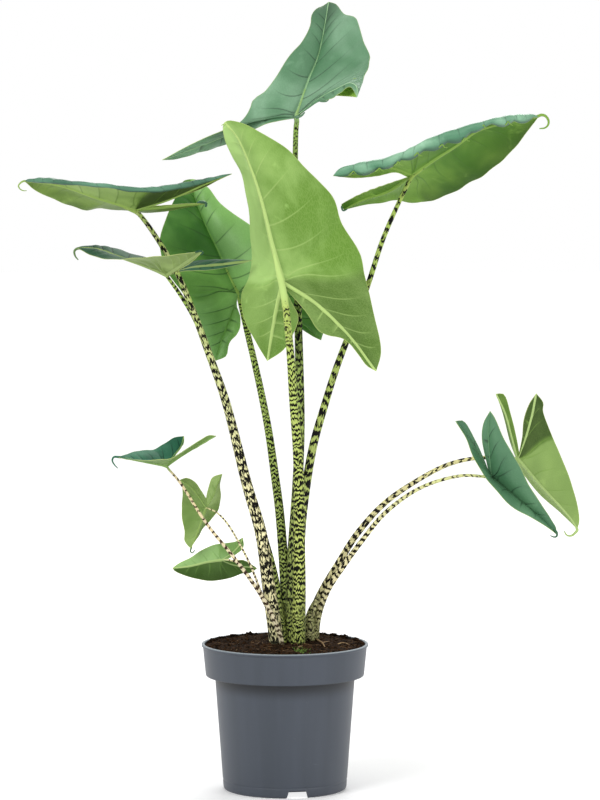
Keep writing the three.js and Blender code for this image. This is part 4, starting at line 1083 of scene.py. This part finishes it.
def peat_grain_effect():
    """Light and dark bits of peat and how far each stands out."""
    wires, given, result, tree = new_effect("peat_grain", {"Object": None}, ["Tint", "Bit", "Height"])
    wires.feed(result["Tint"], wires.noise(given["Object"], 180, 5, 0.7))
    bits = wires.noise(wires.plus(given["Object"], (3, 1, 7)), 700, 3, 0.7)
    wires.feed(result["Bit"], wires.step(bits, 0.58, 0.7))
    wires.feed(result["Height"], wires.noise(given["Object"], 600, 5, 0.75))
    return tree


ZEBRA_MARKS = zebra_marks_effect()
LEAF_TISSUE = leaf_tissue_effect()
MOULDED_SKIN = moulded_skin_effect()
PEAT_GRAIN = peat_grain_effect()

# Colours of each blade: the upper face's deep and light green, the underside's deep and light green, the
# midrib and, on the underside, the side veins
LEAF_COLOURS = {
    "top": ((80, 124, 88), (126, 164, 132), (124, 166, 62), (158, 196, 92), (150, 188, 140),
            (150, 188, 100)),
    "front": ((58, 110, 48), (96, 140, 80), (98, 136, 50), (144, 178, 96), (172, 198, 118),
              (164, 192, 112)),
    "left": ((26, 74, 50), (86, 132, 104), (66, 96, 26), (122, 150, 70), (136, 164, 80), (78, 106, 38)),
    "right": ((74, 126, 94), (158, 200, 168), (60, 104, 16), (112, 150, 54), (118, 152, 64),
              (60, 98, 22)),
    "low": ((30, 72, 48), (70, 108, 82), (84, 110, 42), (122, 144, 78), (140, 162, 96), (138, 160, 92)),
    "back": ((42, 96, 20), (106, 158, 70), (90, 140, 46), (130, 170, 76), (92, 138, 58),
             (130, 170, 80)),
    "small_high": ((18, 74, 52), (58, 116, 88), (80, 116, 50), (110, 140, 74), (128, 160, 90),
                   (112, 144, 76)),
    "small_mid": ((50, 98, 40), (88, 132, 72), (80, 112, 40), (138, 164, 94), (132, 160, 84),
                  (104, 138, 62)),
    "small_low": ((50, 98, 40), (88, 132, 72), (76, 118, 38), (132, 168, 100), (158, 184, 114),
                  (104, 142, 66)),
    "small_right": ((38, 88, 56), (80, 124, 88), (88, 132, 52), (134, 170, 92), (100, 146, 102),
                    (128, 166, 90)),
    "tall_right": ((34, 84, 50), (84, 132, 90), (64, 98, 26), (120, 148, 72), (164, 188, 118),
                   (112, 144, 64)),
}
MATTE_LEAVES = ("low", "small_high")
# Leaves whose midrib is only a thin line of colour
THIN_RIBS = ("top", "back", "small_mid", "small_low", "small_right")
# How strongly each face shows its painted sheen, its net of fine veins, its side veins and its pale margin
PAINTED_SHEEN = {"upper": 0.35, "under": 0.9}
NET = {"upper": 0.08, "under": 0.12}
SIDE_VEIN = {"upper": 0.8, "under": 0.62}
PALE_MARGIN = {"upper": 0.35, "under": 0.6}
MARGIN_COLOUR = (186, 198, 118)


def blade_skin(name, face, deep, light, vein, groove, finish):
    """One face of a blade: clouded green, painted sheen, painted light and shade on its halves and along its
    grooves, its veins, its pale margin, and a fine net that catches light.
    """
    material, wires, shader = new_material(f"{name}_blade_{face}", **finish)
    rib, side_vein, edge, tone = (wires.value(f"blade_{key}") for key in ("rib", "vein", "edge", "tone"))
    tissue = wires.effect(LEAF_TISSUE, Place=wires.vector("blade_place"), Object=wires.object_place())
    # The clouds mix the deep and light green: partly the tissue's own mottling, partly painted soft
    # highlights.
    base = wires.mix(tissue["Cloud"], colour(*deep), colour(*light))
    # Painted highlight: a lighter green laid where the painted sheen falls.
    base = wires.lay(base, shade(light, 1.1, 18), tissue["Painted sheen"], PAINTED_SHEEN[face])
    # Painted light and shade: the tone lightens or darkens the green where the light falls on a half, a roll
    # or a curl.
    base = wires.lay(base, shade(light, 1, 44), wires.step(tone, 0, 1))
    base = wires.lay(base, shade(deep, 0.6), wires.step(tone, 0, -1))
    # On the upper face the groove colour is painted shade in the veins' grooves; on the underside it is the
    # side veins' own colour.
    base = wires.lay(base, groove, tissue["Net"], NET[face])
    base = wires.lay(base, groove, side_vein, SIDE_VEIN[face])
    # A darker band along the midrib's sides: painted shade beside it.
    base = wires.lay(base, shade(deep, 0.75), wires.step(rib, 0.05, 0.36), 0.12)
    middle = 0.66 if name in THIN_RIBS else 0.34
    base = wires.lay(base, vein, wires.step(rib, middle, middle + 0.14), 0.95)
    base = wires.lay(base, MARGIN_COLOUR, wires.step(edge, 0.2, 0.9, PALE_MARGIN[face], 0))
    wires.feed(shader["Base Color"], base)
    relief = wires.math("ADD", wires.math("MULTIPLY", tissue["Net"], -0.6), tissue["Grain"])
    wires.feed(shader["Normal"], wires.bump(relief, 0.25, 0.0003))
    rough = wires.math("MULTIPLY_ADD", tissue["Grain"], 0.16, finish["Roughness"] - 0.08)
    wires.feed(shader["Roughness"], rough)
    return material


def blade_upper(name):
    deep, light, _, _, vein, _ = LEAF_COLOURS[name]
    # The upper face's side veins and fine net are painted a darker green: painted shade in their grooves.
    groove = shade(deep, 0.72 if name == "back" else 0.5)
    finish = {"Roughness": 0.44, "Specular_IOR_Level": 0.36}
    if name in MATTE_LEAVES:
        finish = {"Roughness": 0.62, "Specular_IOR_Level": 0.12}
    return blade_skin(name, "upper", deep, light, vein, groove, finish)


def blade_under(name):
    _, _, deep, light, vein, side_vein = LEAF_COLOURS[name]
    finish = {"Roughness": 0.56, "Specular_IOR_Level": 0.2}
    return blade_skin(name, "under", deep, light, vein, side_vein, finish)


# Stems: skin at the foot and near the blade, the marks' colour, their spacing, bend, teeth and break, their
# cover at the foot and near the blade, how far up they turn to specks and end, and a number that sets each
# stem's marks apart
STEM_LOOKS = {
    "left": ((238, 230, 180), (152, 174, 90), (9, 7, 3), (11, 20, 24, 3), (0.7, 0.44), (2, 0.985), 1.3),
    "low": ((176, 192, 108), (142, 170, 78), (11, 14, 4), (6.5, 12, 10, 2), (0.56, 0.5),
            (2, 0.985), 2.1),
    "small_high": ((230, 218, 184), (214, 196, 152), (56, 38, 28), (8, 12, 8, 1.8), (0.42, 0.16),
                   (2, 0.97), 3.7),
    "small_mid": ((230, 218, 184), (206, 200, 148), (58, 42, 28), (6, 8, 6, 1.6), (0.4, 0.26),
                  (2, 0.99), 4.4),
    "small_low": ((230, 218, 184), (214, 206, 160), (44, 32, 22), (6.5, 8, 6, 1.6), (0.4, 0.3),
                  (2, 0.95), 5.9),
    "front": ((190, 202, 110), (172, 192, 100), (5, 8, 0), (6.6, 17, 11, 1.5), (0.68, 0.4),
              (0.86, 0.94), 6.2),
    "top": ((160, 176, 98), (138, 170, 80), (8, 6, 6), (9.5, 22, 22, 2.8), (0.66, 0.58),
            (0.8, 0.99), 7.7),
    "back": ((162, 180, 96), (156, 182, 88), (6, 12, 2), (5.6, 14, 10, 2.4), (0.56, 0.44),
             (2, 0.985), 8.3),
    "right": ((174, 188, 106), (154, 178, 86), (7, 6, 4), (13, 18, 18, 2.4), (0.62, 0.4),
              (2, 0.985), 9.1),
    "small_right": ((226, 216, 170), (200, 204, 140), (22, 15, 6), (8.5, 12, 10, 2), (0.5, 0.22),
                    (2, 0.97), 10.6),
    "tall_right": ((220, 212, 162), (210, 204, 146), (18, 13, 5), (10.5, 15, 15, 2.4),
                   (0.56, 0.3), (2, 0.93), 11.2),
}
# How far the marks turn fine and green in the foot, where not wholly
FINE_FEET = {"left": 0.1, "small_high": 0.1, "small_mid": 0.1, "small_low": 0.1, "small_right": 0.8,
             "tall_right": 0.5}
FOOT_GREEN = (188, 202, 112)
HALO_GREEN = (112, 128, 58)


def stem_skin(name):
    """Striped skin of one stem: finer and greener in the peat, plain and vein-coloured at the blade."""
    low, high, dark, bold_marks, (cover_low, cover_high), (specks, end), seed = STEM_LOOKS[name]
    spacing, bend, teeth, broken = bold_marks
    material, wires, shader = new_material(f"{name}_stem_skin", Roughness=0.56, Specular_IOR_Level=0.12)
    place, reach = wires.vector("stem_place"), wires.value("stem_reach")
    up = wires.node("SeparateXYZ", Vector=place).outputs["Z"]
    cover = wires.step(reach, 0.3, 0.95, cover_low, cover_high)
    torn = wires.math("ADD", reach, wires.math("MULTIPLY", wires.noise(place, 0.09), 0.04))
    bare = wires.step(torn, end, end + 0.06)
    cover = wires.math("SUBTRACT", cover, bare)
    bold = wires.effect(ZEBRA_MARKS, Place=place, Spacing=spacing, Bend=bend, Teeth=teeth, Break=broken,
                        Cover=cover, Seed=seed)
    fine_cover = wires.math("SUBTRACT", wires.step(reach, 0.5, 0.85, 0.62, 0.24), bare)
    fine = wires.effect(ZEBRA_MARKS, Place=place, Spacing=6, Bend=17, Teeth=14, Break=2.4, Cover=fine_cover,
                        Seed=seed + 5)
    rise = wires.math("ADD", up, wires.math("MULTIPLY", wires.noise(place, 0.12), 60))
    foot = wires.step(rise, 75, 115, FINE_FEET.get(name, 1), 0)
    small = wires.math("MAXIMUM", foot, wires.step(reach, specks - 0.04, specks + 0.04))
    mark = wires.mix(small, bold["Mark"], fine["Mark"], "FLOAT")
    skin = wires.mix(wires.step(reach, 0.25, 0.9), colour(*low), colour(*high))
    skin = wires.lay(skin, FOOT_GREEN, foot, 0.65)
    patch = wires.step(wires.noise(wires.times(place, (0.25, 0.25, 0.08)), 1, 2, 0.5), 0.4, 0.62)
    skin = wires.lay(skin, shade(low, 0.84), patch, 0.45)
    skin = wires.lay(skin, HALO_GREEN, bold["Halo"], 0.3)
    skin = wires.lay(skin, LEAF_COLOURS[name][4], bare)
    skin = wires.lay(skin, dark, mark)
    wires.feed(shader["Base Color"], skin)
    ribs = wires.noise(wires.times(place, (1.6, 1.6, 0.05)), 1, 2, 0.5)
    wires.feed(shader["Normal"], wires.bump(ribs, 0.35, 0.0006))
    return material


POT_DUST = (130, 126, 120)
POT_SCUFF = (112, 118, 128)
# Painted highlight along the top of the rim's lip
POT_LIP_HIGHLIGHT = (140, 150, 156)
POT_SHADE = (24, 26, 30)
PEAT_BIT = (96, 70, 46)


def pot_plastic():
    """Slate-blue moulded plastic, with a painted highlight along its lip, darker in the shade of its band."""
    material, wires, shader = new_material("slate_pot_plastic", Roughness=0.42, Specular_IOR_Level=0.4)
    skin = wires.effect(MOULDED_SKIN, Object=wires.object_place())
    base = wires.mix(wires.step(skin["Streak"], 0.3, 0.7), colour(59, 65, 74), colour(65, 71, 81))
    base = wires.lay(base, POT_DUST, skin["Dust"], 0.2)
    base = wires.lay(base, POT_SCUFF, skin["Scuff"], 0.1)
    height = wires.node("SeparateXYZ", Vector=wires.object_place()).outputs["Z"]
    # A painted highlight along the top of the rim's lip.
    base = wires.lay(base, POT_LIP_HIGHLIGHT, wires.step(height, 0.1834, 0.1846), 0.75)
    under_band = wires.math("MULTIPLY", wires.step(height, 0.122, 0.143),
                            wires.step(height, 0.1445, 0.146, 1, 0))
    base = wires.lay(base, POT_SHADE, under_band, 0.85)
    wires.feed(shader["Base Color"], base)
    wires.feed(shader["Roughness"], wires.math("MULTIPLY_ADD", skin["Streak"], 0.12, 0.38))
    wires.feed(shader["Normal"], wires.bump(skin["Grain"], 0.12, 0.0002))
    return material


def peat_stuff(name, deep, light):
    """Peat in two browns, with paler bits in it."""
    material, wires, shader = new_material(name, Roughness=0.95, Specular_IOR_Level=0.1)
    grain = wires.effect(PEAT_GRAIN, Object=wires.object_place())
    base = wires.mix(wires.step(grain["Tint"], 0.4, 0.68), colour(*deep), colour(*light))
    base = wires.lay(base, PEAT_BIT, grain["Bit"], 0.4)
    wires.feed(shader["Base Color"], base)
    wires.feed(shader["Normal"], wires.bump(grain["Height"], 0.8, 0.0012))
    return material


def strand_stuff(name, deep, light):
    """Fibre, root or moss in two colours."""
    material, wires, shader = new_material(name, Roughness=0.8)
    tint = wires.noise(wires.object_place(), 260, 3, 0.6)
    wires.feed(shader["Base Color"], wires.mix(wires.step(tint, 0.35, 0.65), colour(*deep), colour(*light)))
    return material


# Peat

BED_RINGS = 90
BED_SECTORS = 300
BED_ROUGHNESS = 1.3
BED_WALL = ((96.4, 149), (86, 145.2), (75.2, 12), (70, 14.6))  # radius and height inside the pot, downwards
STRAND_RINGS = 9
BITS_REACH = 99.5  # how far out crumbs and clumps lie
CRUMBS = 1500
CRUMB_RADIUS = 0.55
LARGEST_CRUMB = 2.6
CLUMPS = 44  # in each heap
FIBRES = 110
MOSS_BLADES = 90
# Roots that lie bare on the peat: x, y and height over the peat
ROOTS = (((40, 26, 0.6), (44, 6, 2.4), (47, -10, 2), (50, -30, 0.4)),
         ((46, -2, 1.6), (51, 8, 2), (56, 22, 0.6)),
         ((22, -22, 0.5), (18, -34, 2), (15, -54, 0.5)),
         ((66, -12, 0.5), (74, -4, 1.6), (82, -10, 0.4)))
ROOT_RADII = (1.3, 0.9, 1.1, 0.8)
# Heaps at the back rim: angle from the right side round to the back and height over the rim
HEAPS = ((38, 3), (50, 2.4), (62, 1.6), (96, 1.8), (118, 3.2), (134, 2), (150, 1.8), (166, 2.8), (20, 2.6),
         (5, 1.6))


def peat_height(x, y):
    """Height of the peat's surface: the solid's long waves under crumbs and hollows."""
    long = np.sin(0.21 * x + 1.3 * np.sin(0.17 * y))
    middling = np.sin(0.37 * y - 0.9 * np.cos(0.31 * x))
    short = np.sin(0.83 * x + 0.71 * y)
    wave = 1.6 * (0.5 * long + 0.3 * middling + 0.2 * short)
    return PEAT_TOP - PEAT_EDGE_DROP * (np.hypot(x, y) / RIM_RADIUS) ** 3 + wave


def make_peat(material):
    """The peat as one closed bed: its rough top, and its wall and underside inside the pot."""
    angle = np.arange(BED_SECTORS) / BED_SECTORS * math.tau
    top = PEAT_RADIUS * np.linspace(0, 1, BED_RINGS + 1)[1:, None]
    x, y = top * np.cos(angle), top * np.sin(angle)
    crumb = np.array([noise.fractal(Vector((u * 0.16, v * 0.16, 0)), 0.8, 2.2, 4)
                      for u, v in zip(x.ravel(), y.ravel())]).reshape(x.shape)
    z = peat_height(x, y) + BED_ROUGHNESS * crumb
    lower = [ring_points(r, h, angle) for r, h in BED_WALL]
    points = np.concatenate([[[0, 0, peat_height(0, 0)]], np.stack([x, y, z], -1).reshape(-1, 3), *lower,
                             [[0, 0, BED_WALL[-1][1]]]])
    rings, foot = BED_RINGS + len(BED_WALL), len(points) - 1
    faces = fan(0, 1, BED_SECTORS) + ring_faces(rings, BED_SECTORS, 1, over=True)
    faces += fan(foot, foot - BED_SECTORS, BED_SECTORS, over=True)
    piece = make_piece("peat_bed", points, faces, [material], sharp=180)
    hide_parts("soil")


def ball():
    """A small round of twelve points and twenty faces."""
    mesh = bmesh.new()
    bmesh.ops.create_icosphere(mesh, subdivisions=1, radius=1)
    points = np.array([v.co[:] for v in mesh.verts])
    faces = np.array([[v.index for v in f.verts] for f in mesh.faces])
    mesh.free()
    return points, faces


def make_bits(name, material, bits, faces):
    """One piece from many small closed bits that have the same faces."""
    shapes = [faces + number * len(bits[0]) for number in range(len(bits))]
    piece = make_piece(name, np.concatenate(bits), np.concatenate(shapes), [material], sharp=50)


def make_crumbs(material):
    """Crumbs of peat strewn over the bed, each pushed out of round and turned its own way."""
    points, faces = ball()
    crumbs = []
    for number in range(CRUMBS):
        radius, angle = BITS_REACH * math.sqrt(RNG.random()), RNG.random() * math.tau
        if number % 9 == 0:
            radius = RNG.uniform(95, 100.5)
        x, y = radius * math.cos(angle), radius * math.sin(angle)
        size = min(LARGEST_CRUMB, CRUMB_RADIUS * math.exp(RNG.normal(0.25, 0.5))) * RNG.uniform(0.6, 1.3, 3)
        turn = np.array(Matrix.Rotation(RNG.random() * math.tau, 3, Vector(RNG.normal(size=3))))
        crumb = (points * RNG.uniform(0.7, 1.25, (len(points), 1)) * size) @ turn
        crumbs.append(crumb + [x, y, peat_height(x, y) + 0.7])
    make_bits("peat_crumbs", material, crumbs, faces)


def make_clumps(material):
    """Clumps of peat heaped against the pot's back rim, at each heap's angle and height over the rim."""
    points, faces = ball()
    clumps = []
    for turn, height in HEAPS:
        for _ in range(CLUMPS):
            rise = RNG.random() ** 1.5
            angle = math.radians(turn) + RNG.normal(0, 0.05) * (1.3 - rise)
            radius = BITS_REACH - RNG.uniform(0, 5) - 2 * rise
            size = RNG.uniform(0.7, 1.7, 3)
            clump = points * RNG.uniform(0.65, 1.3, (len(points), 1)) * size
            place = [radius * math.cos(angle), radius * math.sin(angle), PEAT_TOP + height * rise]
            clumps.append(clump + place)
    make_bits("peat_clumps", material, clumps, faces)


def make_strands(name, material, paths, radii, sides):
    """Thin strands along given paths, as one piece, each thinning to half its radius."""
    points, faces = [], []
    way = np.linspace(0, 1, STRAND_RINGS)
    for path, radius in zip(paths, radii):
        rings, _ = tube(Line(path).at(way), radius * (1 - 0.5 * way), sides)
        faces += tube_faces(STRAND_RINGS, sides, sum(len(p) for p in points))
        points.append(rings.reshape(-1, 3))
    piece = make_piece(name, np.concatenate(points), faces, [material], sharp=80)


def fibre_paths():
    """Fibres lying on the peat, each wandering from a place of its own."""
    paths = []
    for _ in range(FIBRES):
        radius, angle, way = 94 * math.sqrt(RNG.random()), RNG.random() * math.tau, RNG.random() * math.tau
        x, y, length = radius * math.cos(angle), radius * math.sin(angle), RNG.uniform(5, 16)
        path = []
        for step in range(4):
            path.append((x, y, peat_height(x, y) + RNG.uniform(0.4, 1.8)))
            way += RNG.normal(0, 0.5)
            x, y = x + length / 3 * math.cos(way), y + length / 3 * math.sin(way)
        if all(math.hypot(px, py) < 98 for px, py, _ in path):
            paths.append(path)
    return paths


def moss_paths():
    """Short blades of moss in a tuft before the middle shoot's foot."""
    paths = []
    for _ in range(MOSS_BLADES):
        x, y, way = 19 + 4.5 * RNG.normal(), -62 + 11 * RNG.normal(), RNG.random() * math.tau
        foot = np.array([x, y, peat_height(x, y) - 0.2])
        lean = np.array([math.cos(way), math.sin(way), 0]) * RNG.uniform(0.8, 2.2)
        paths.append([foot, foot + 0.4 * lean + [0, 0, 1], foot + lean + [0, 0, RNG.uniform(1.2, 2.4)]])
    return paths


# Pot

def eased(corners, steps=5):
    """A profile with each corner (radius, height, easing) rounded by an arc-like curve."""
    line = []
    for i, (r, h, ease) in enumerate(corners):
        here = np.array([r, h], float)
        if ease == 0 or i in (0, len(corners) - 1):
            line.append(here)
            continue
        before, after = (np.array(corners[j][:2], float) - here for j in (i - 1, i + 1))
        start = here + before / np.linalg.norm(before) * min(ease, np.linalg.norm(before) * 0.48)
        end = here + after / np.linalg.norm(after) * min(ease, np.linalg.norm(after) * 0.48)
        for t in np.linspace(0, 1, steps + 1):
            line.append((1 - t) ** 2 * start + 2 * t * (1 - t) * here + t ** 2 * end)
    return np.array(line)


def turned(profile, sides):
    """Points and faces of a closed profile turned round the pot's axis; its ends lie on the axis."""
    ring = profile[1:-1]
    points = ring_points(ring[:, :1], ring[:, 1:], np.arange(sides) / sides * math.tau).reshape(-1, 3)
    foot = len(points)
    points = np.concatenate([points, [[0, 0, profile[0][1]], [0, 0, profile[-1][1]]]])
    faces = ring_faces(len(ring), sides) + fan(foot, 0, sides, over=True) + fan(foot + 1, foot - sides, sides)
    return points, faces


def cut_away(piece, points, faces):
    """Cuts a closed shape out of a piece."""
    mesh = bpy.data.meshes.new("cutter")
    mesh.from_pydata((np.asarray(points) * MM).tolist(), [], faces)
    cutter = add_object("cutter", mesh)
    cut = piece.modifiers.new("cut", "BOOLEAN")
    cut.operation, cut.solver, cut.object = "DIFFERENCE", "EXACT", cutter
    result = bpy.data.meshes.new_from_object(piece.evaluated_get(bpy.context.evaluated_depsgraph_get()))
    piece.modifiers.clear()
    piece.data = result
    bpy.data.objects.remove(cutter)


def prism(outline, turn):
    """A block from an outline of (x, y) pairs at its low and its high end, turned round the pot's axis."""
    c, s = math.cos(turn), math.sin(turn)
    count = len(outline) // 2
    points = [(x * c - y * s, x * s + y * c, z) for x, y, z in outline]
    faces = [tuple(reversed(range(count))), tuple(range(count, 2 * count))]
    faces += [(i, (i + 1) % count, count + (i + 1) % count, count + i) for i in range(count)]
    return points, faces


def make_pot(material):
    """The pot, turned from its profile, with pockets, notches and drain holes cut out of its underside."""
    low, body = RING["height"], lambda h: FOOT_RADIUS + (SHOULDER_RADIUS - FOOT_RADIUS) * h / SHOULDER
    lip_foot = RIM_TOP - LIP["height"]
    half_ring = RING["half"] + RING_EASE / 2
    profile = eased([
        (0, 0, 0), (FOOT_RADIUS, 0, FOOT_ROUND),
        (body(low - half_ring), low - half_ring, RING_EASE), (body(low) - RING["depth"], low, RING_EASE),
        (body(low + half_ring), low + half_ring, RING_EASE),
        (SHOULDER_RADIUS, SHOULDER, 0.8), (BAND_FOOT_RADIUS, SHOULDER, 1.8),
        (RIM_RADIUS - LIP["out"], lip_foot - 0.6, 0.8), (RIM_RADIUS, lip_foot, 0.7), (RIM_RADIUS, RIM_TOP, 1),
        (RIM_RADIUS - WALL - LIP["out"], RIM_TOP, 1), (BAND_FOOT_RADIUS - WALL - 1, BAND_FOOT + 3, 1),
        (SHOULDER_RADIUS - WALL, SHOULDER + 1, 1), (FOOT_RADIUS - WALL, 13, 2), (0, 13, 0)])
    points, faces = turned(profile, POT_SIDES)
    pot = make_piece("pot_shell", points, faces, [material], sharp=38)
    half, inner, outer = POCKETS["width"] / 2, POCKETS["inner"], POCKETS["outer"]
    arc = [(math.sqrt(outer ** 2 - y ** 2), y) for y in np.linspace(-half, half, 13)]
    pocket = [(inner, half), (inner, -half), *arc]
    notch = NOTCH["width"] / 2
    for number in range(POCKETS["count"]):
        turn = math.radians(POCKETS["front"] - 90 + 360 * number / POCKETS["count"])
        cut_away(pot, *prism([(*p, h) for h in (-1, POCKETS["height"]) for p in pocket], turn))
        ends = ((-1, notch), (POCKETS["height"], notch - NOTCH["slant"]))
        cut_away(pot, *prism([(x, y, z) for z, w in ends
                              for x, y in ((outer - WALL, w), (outer - WALL, -w),
                                           (FOOT_RADIUS + WALL, -w), (FOOT_RADIUS + WALL, w))], turn))
        drain = [(DRAIN["ring"] + DRAIN["radius"] * math.cos(a), DRAIN["radius"] * math.sin(a))
                 for a in np.arange(24) / 24 * math.tau]
        cut_away(pot, *prism([(*p, h) for h in (-1, 20) for p in drain], turn))
    pot.data.set_sharp_from_angle(angle=math.radians(38))
    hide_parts("pot")


make_pot(pot_plastic())
make_peat(peat_stuff("peat", (18, 10, 3), (58, 38, 20)))
make_crumbs(peat_stuff("peat_crumbs", (20, 12, 4), (72, 47, 24)))
make_clumps(peat_stuff("peat_clumps", (18, 10, 4), (58, 38, 21)))
fibres = fibre_paths()
make_strands("peat_fibres", strand_stuff("tan_fibre", (66, 46, 28), (122, 94, 62)), fibres,
             [RNG.uniform(0.18, 0.36) for _ in fibres], 4)
roots = [[(x, y, peat_height(x, y) + rise) for x, y, rise in path] for path in ROOTS]
make_strands("bare_roots", strand_stuff("root_bark", (104, 78, 48), (168, 140, 98)), roots, ROOT_RADII, 8)
moss = moss_paths()
make_strands("moss_tuft", strand_stuff("moss", (58, 92, 22), (128, 160, 62)), moss,
             [RNG.uniform(0.25, 0.5) for _ in moss], 4)
for shoot_name, shoot in SHOOTS.items():
    make_shoot(shoot_name, shoot)
for leaf_name, leaf in LEAVES.items():
    make_blade(leaf_name, leaf)


# Floor, light and camera

ROOM_LIGHT = 0.7
# Lamps: name, place and aim in metres, size in metres and power in watts
LAMPS = (("key", (-1.7, -2.2, 2.4), (0, 0, 0.55), 1.6, 60),
         ("fill", (2.2, -1.8, 1.2), (0, 0, 0.45), 1.8, 22),
         ("back", (0.4, 1.9, 2.3), (0, 0, 0.6), 1.6, 40))


def make_floor():
    """A pale floor for the stage, which glows a little far off and in the pot's notch."""
    material, wires, shader = new_material("pale_floor", Roughness=0.9, Specular_IOR_Level=0.1)
    tone = wires.noise(wires.object_place(), 3, 2, 0.5)
    wires.feed(shader["Base Color"], wires.mix(tone, colour(246, 246, 246), colour(250, 250, 250)))
    far = wires.node("VectorMath", {"operation": "LENGTH"}, Vector=wires.object_place()).outputs["Value"]
    shader["Emission Color"].default_value = (1, 1, 1, 1)
    below = wires.step(far, 0.072, 0.077, 0.8, 0)
    wires.feed(shader["Emission Strength"], wires.math("ADD", wires.step(far, 0.5, 3, 0, 0.4), below))
    mesh = bpy.data.meshes.new("floor")
    mesh.from_pydata([(x, y, 0) for x, y in ((-14, -14), (14, -14), (14, 14), (-14, 14))], [], [(0, 1, 2, 3)])
    mesh.materials.append(material)
    floor = add_object("floor", mesh)


def add_lamp(name, place, aim, size, power):
    """A soft square lamp, its place and aim in metres."""
    data = bpy.data.lights.new(name, "AREA")
    data.shape, data.size, data.energy = "SQUARE", size, power
    lamp = add_object(name, data)
    lamp.location = place
    lamp.rotation_euler = (Vector(aim) - Vector(place)).to_track_quat("-Z", "Y").to_euler()


def light_room():
    """Even light from all round, white where the camera sees it, and three soft lamps."""
    world = bpy.data.worlds.new("studio")
    world.use_nodes = True
    wires = Wires(world.node_tree)
    background = world.node_tree.nodes["Background"]
    seen = wires.node("LightPath").outputs["Is Camera Ray"]
    wires.feed(background.inputs["Strength"], wires.math("MULTIPLY_ADD", seen, 1 - ROOM_LIGHT, ROOM_LIGHT))
    background.inputs["Color"].default_value = (1, 1, 1, 1)
    bpy.context.scene.world = world
    for lamp in LAMPS:
        add_lamp(*lamp)


def set_camera():
    data = bpy.data.cameras.new("photo_view")
    data.sensor_width = 36
    data.lens = data.sensor_width * FOCAL / IMAGE_HEIGHT
    data.clip_end = 40
    camera = add_object("photo_view", data)
    camera.location = [c * MM for c in EYE]
    camera.rotation_euler = (math.radians(90 + TILT), 0, 0)
    bpy.context.scene.camera = camera


bpy.context.scene.view_settings.view_transform = "Standard"
make_floor()
light_room()
set_camera()
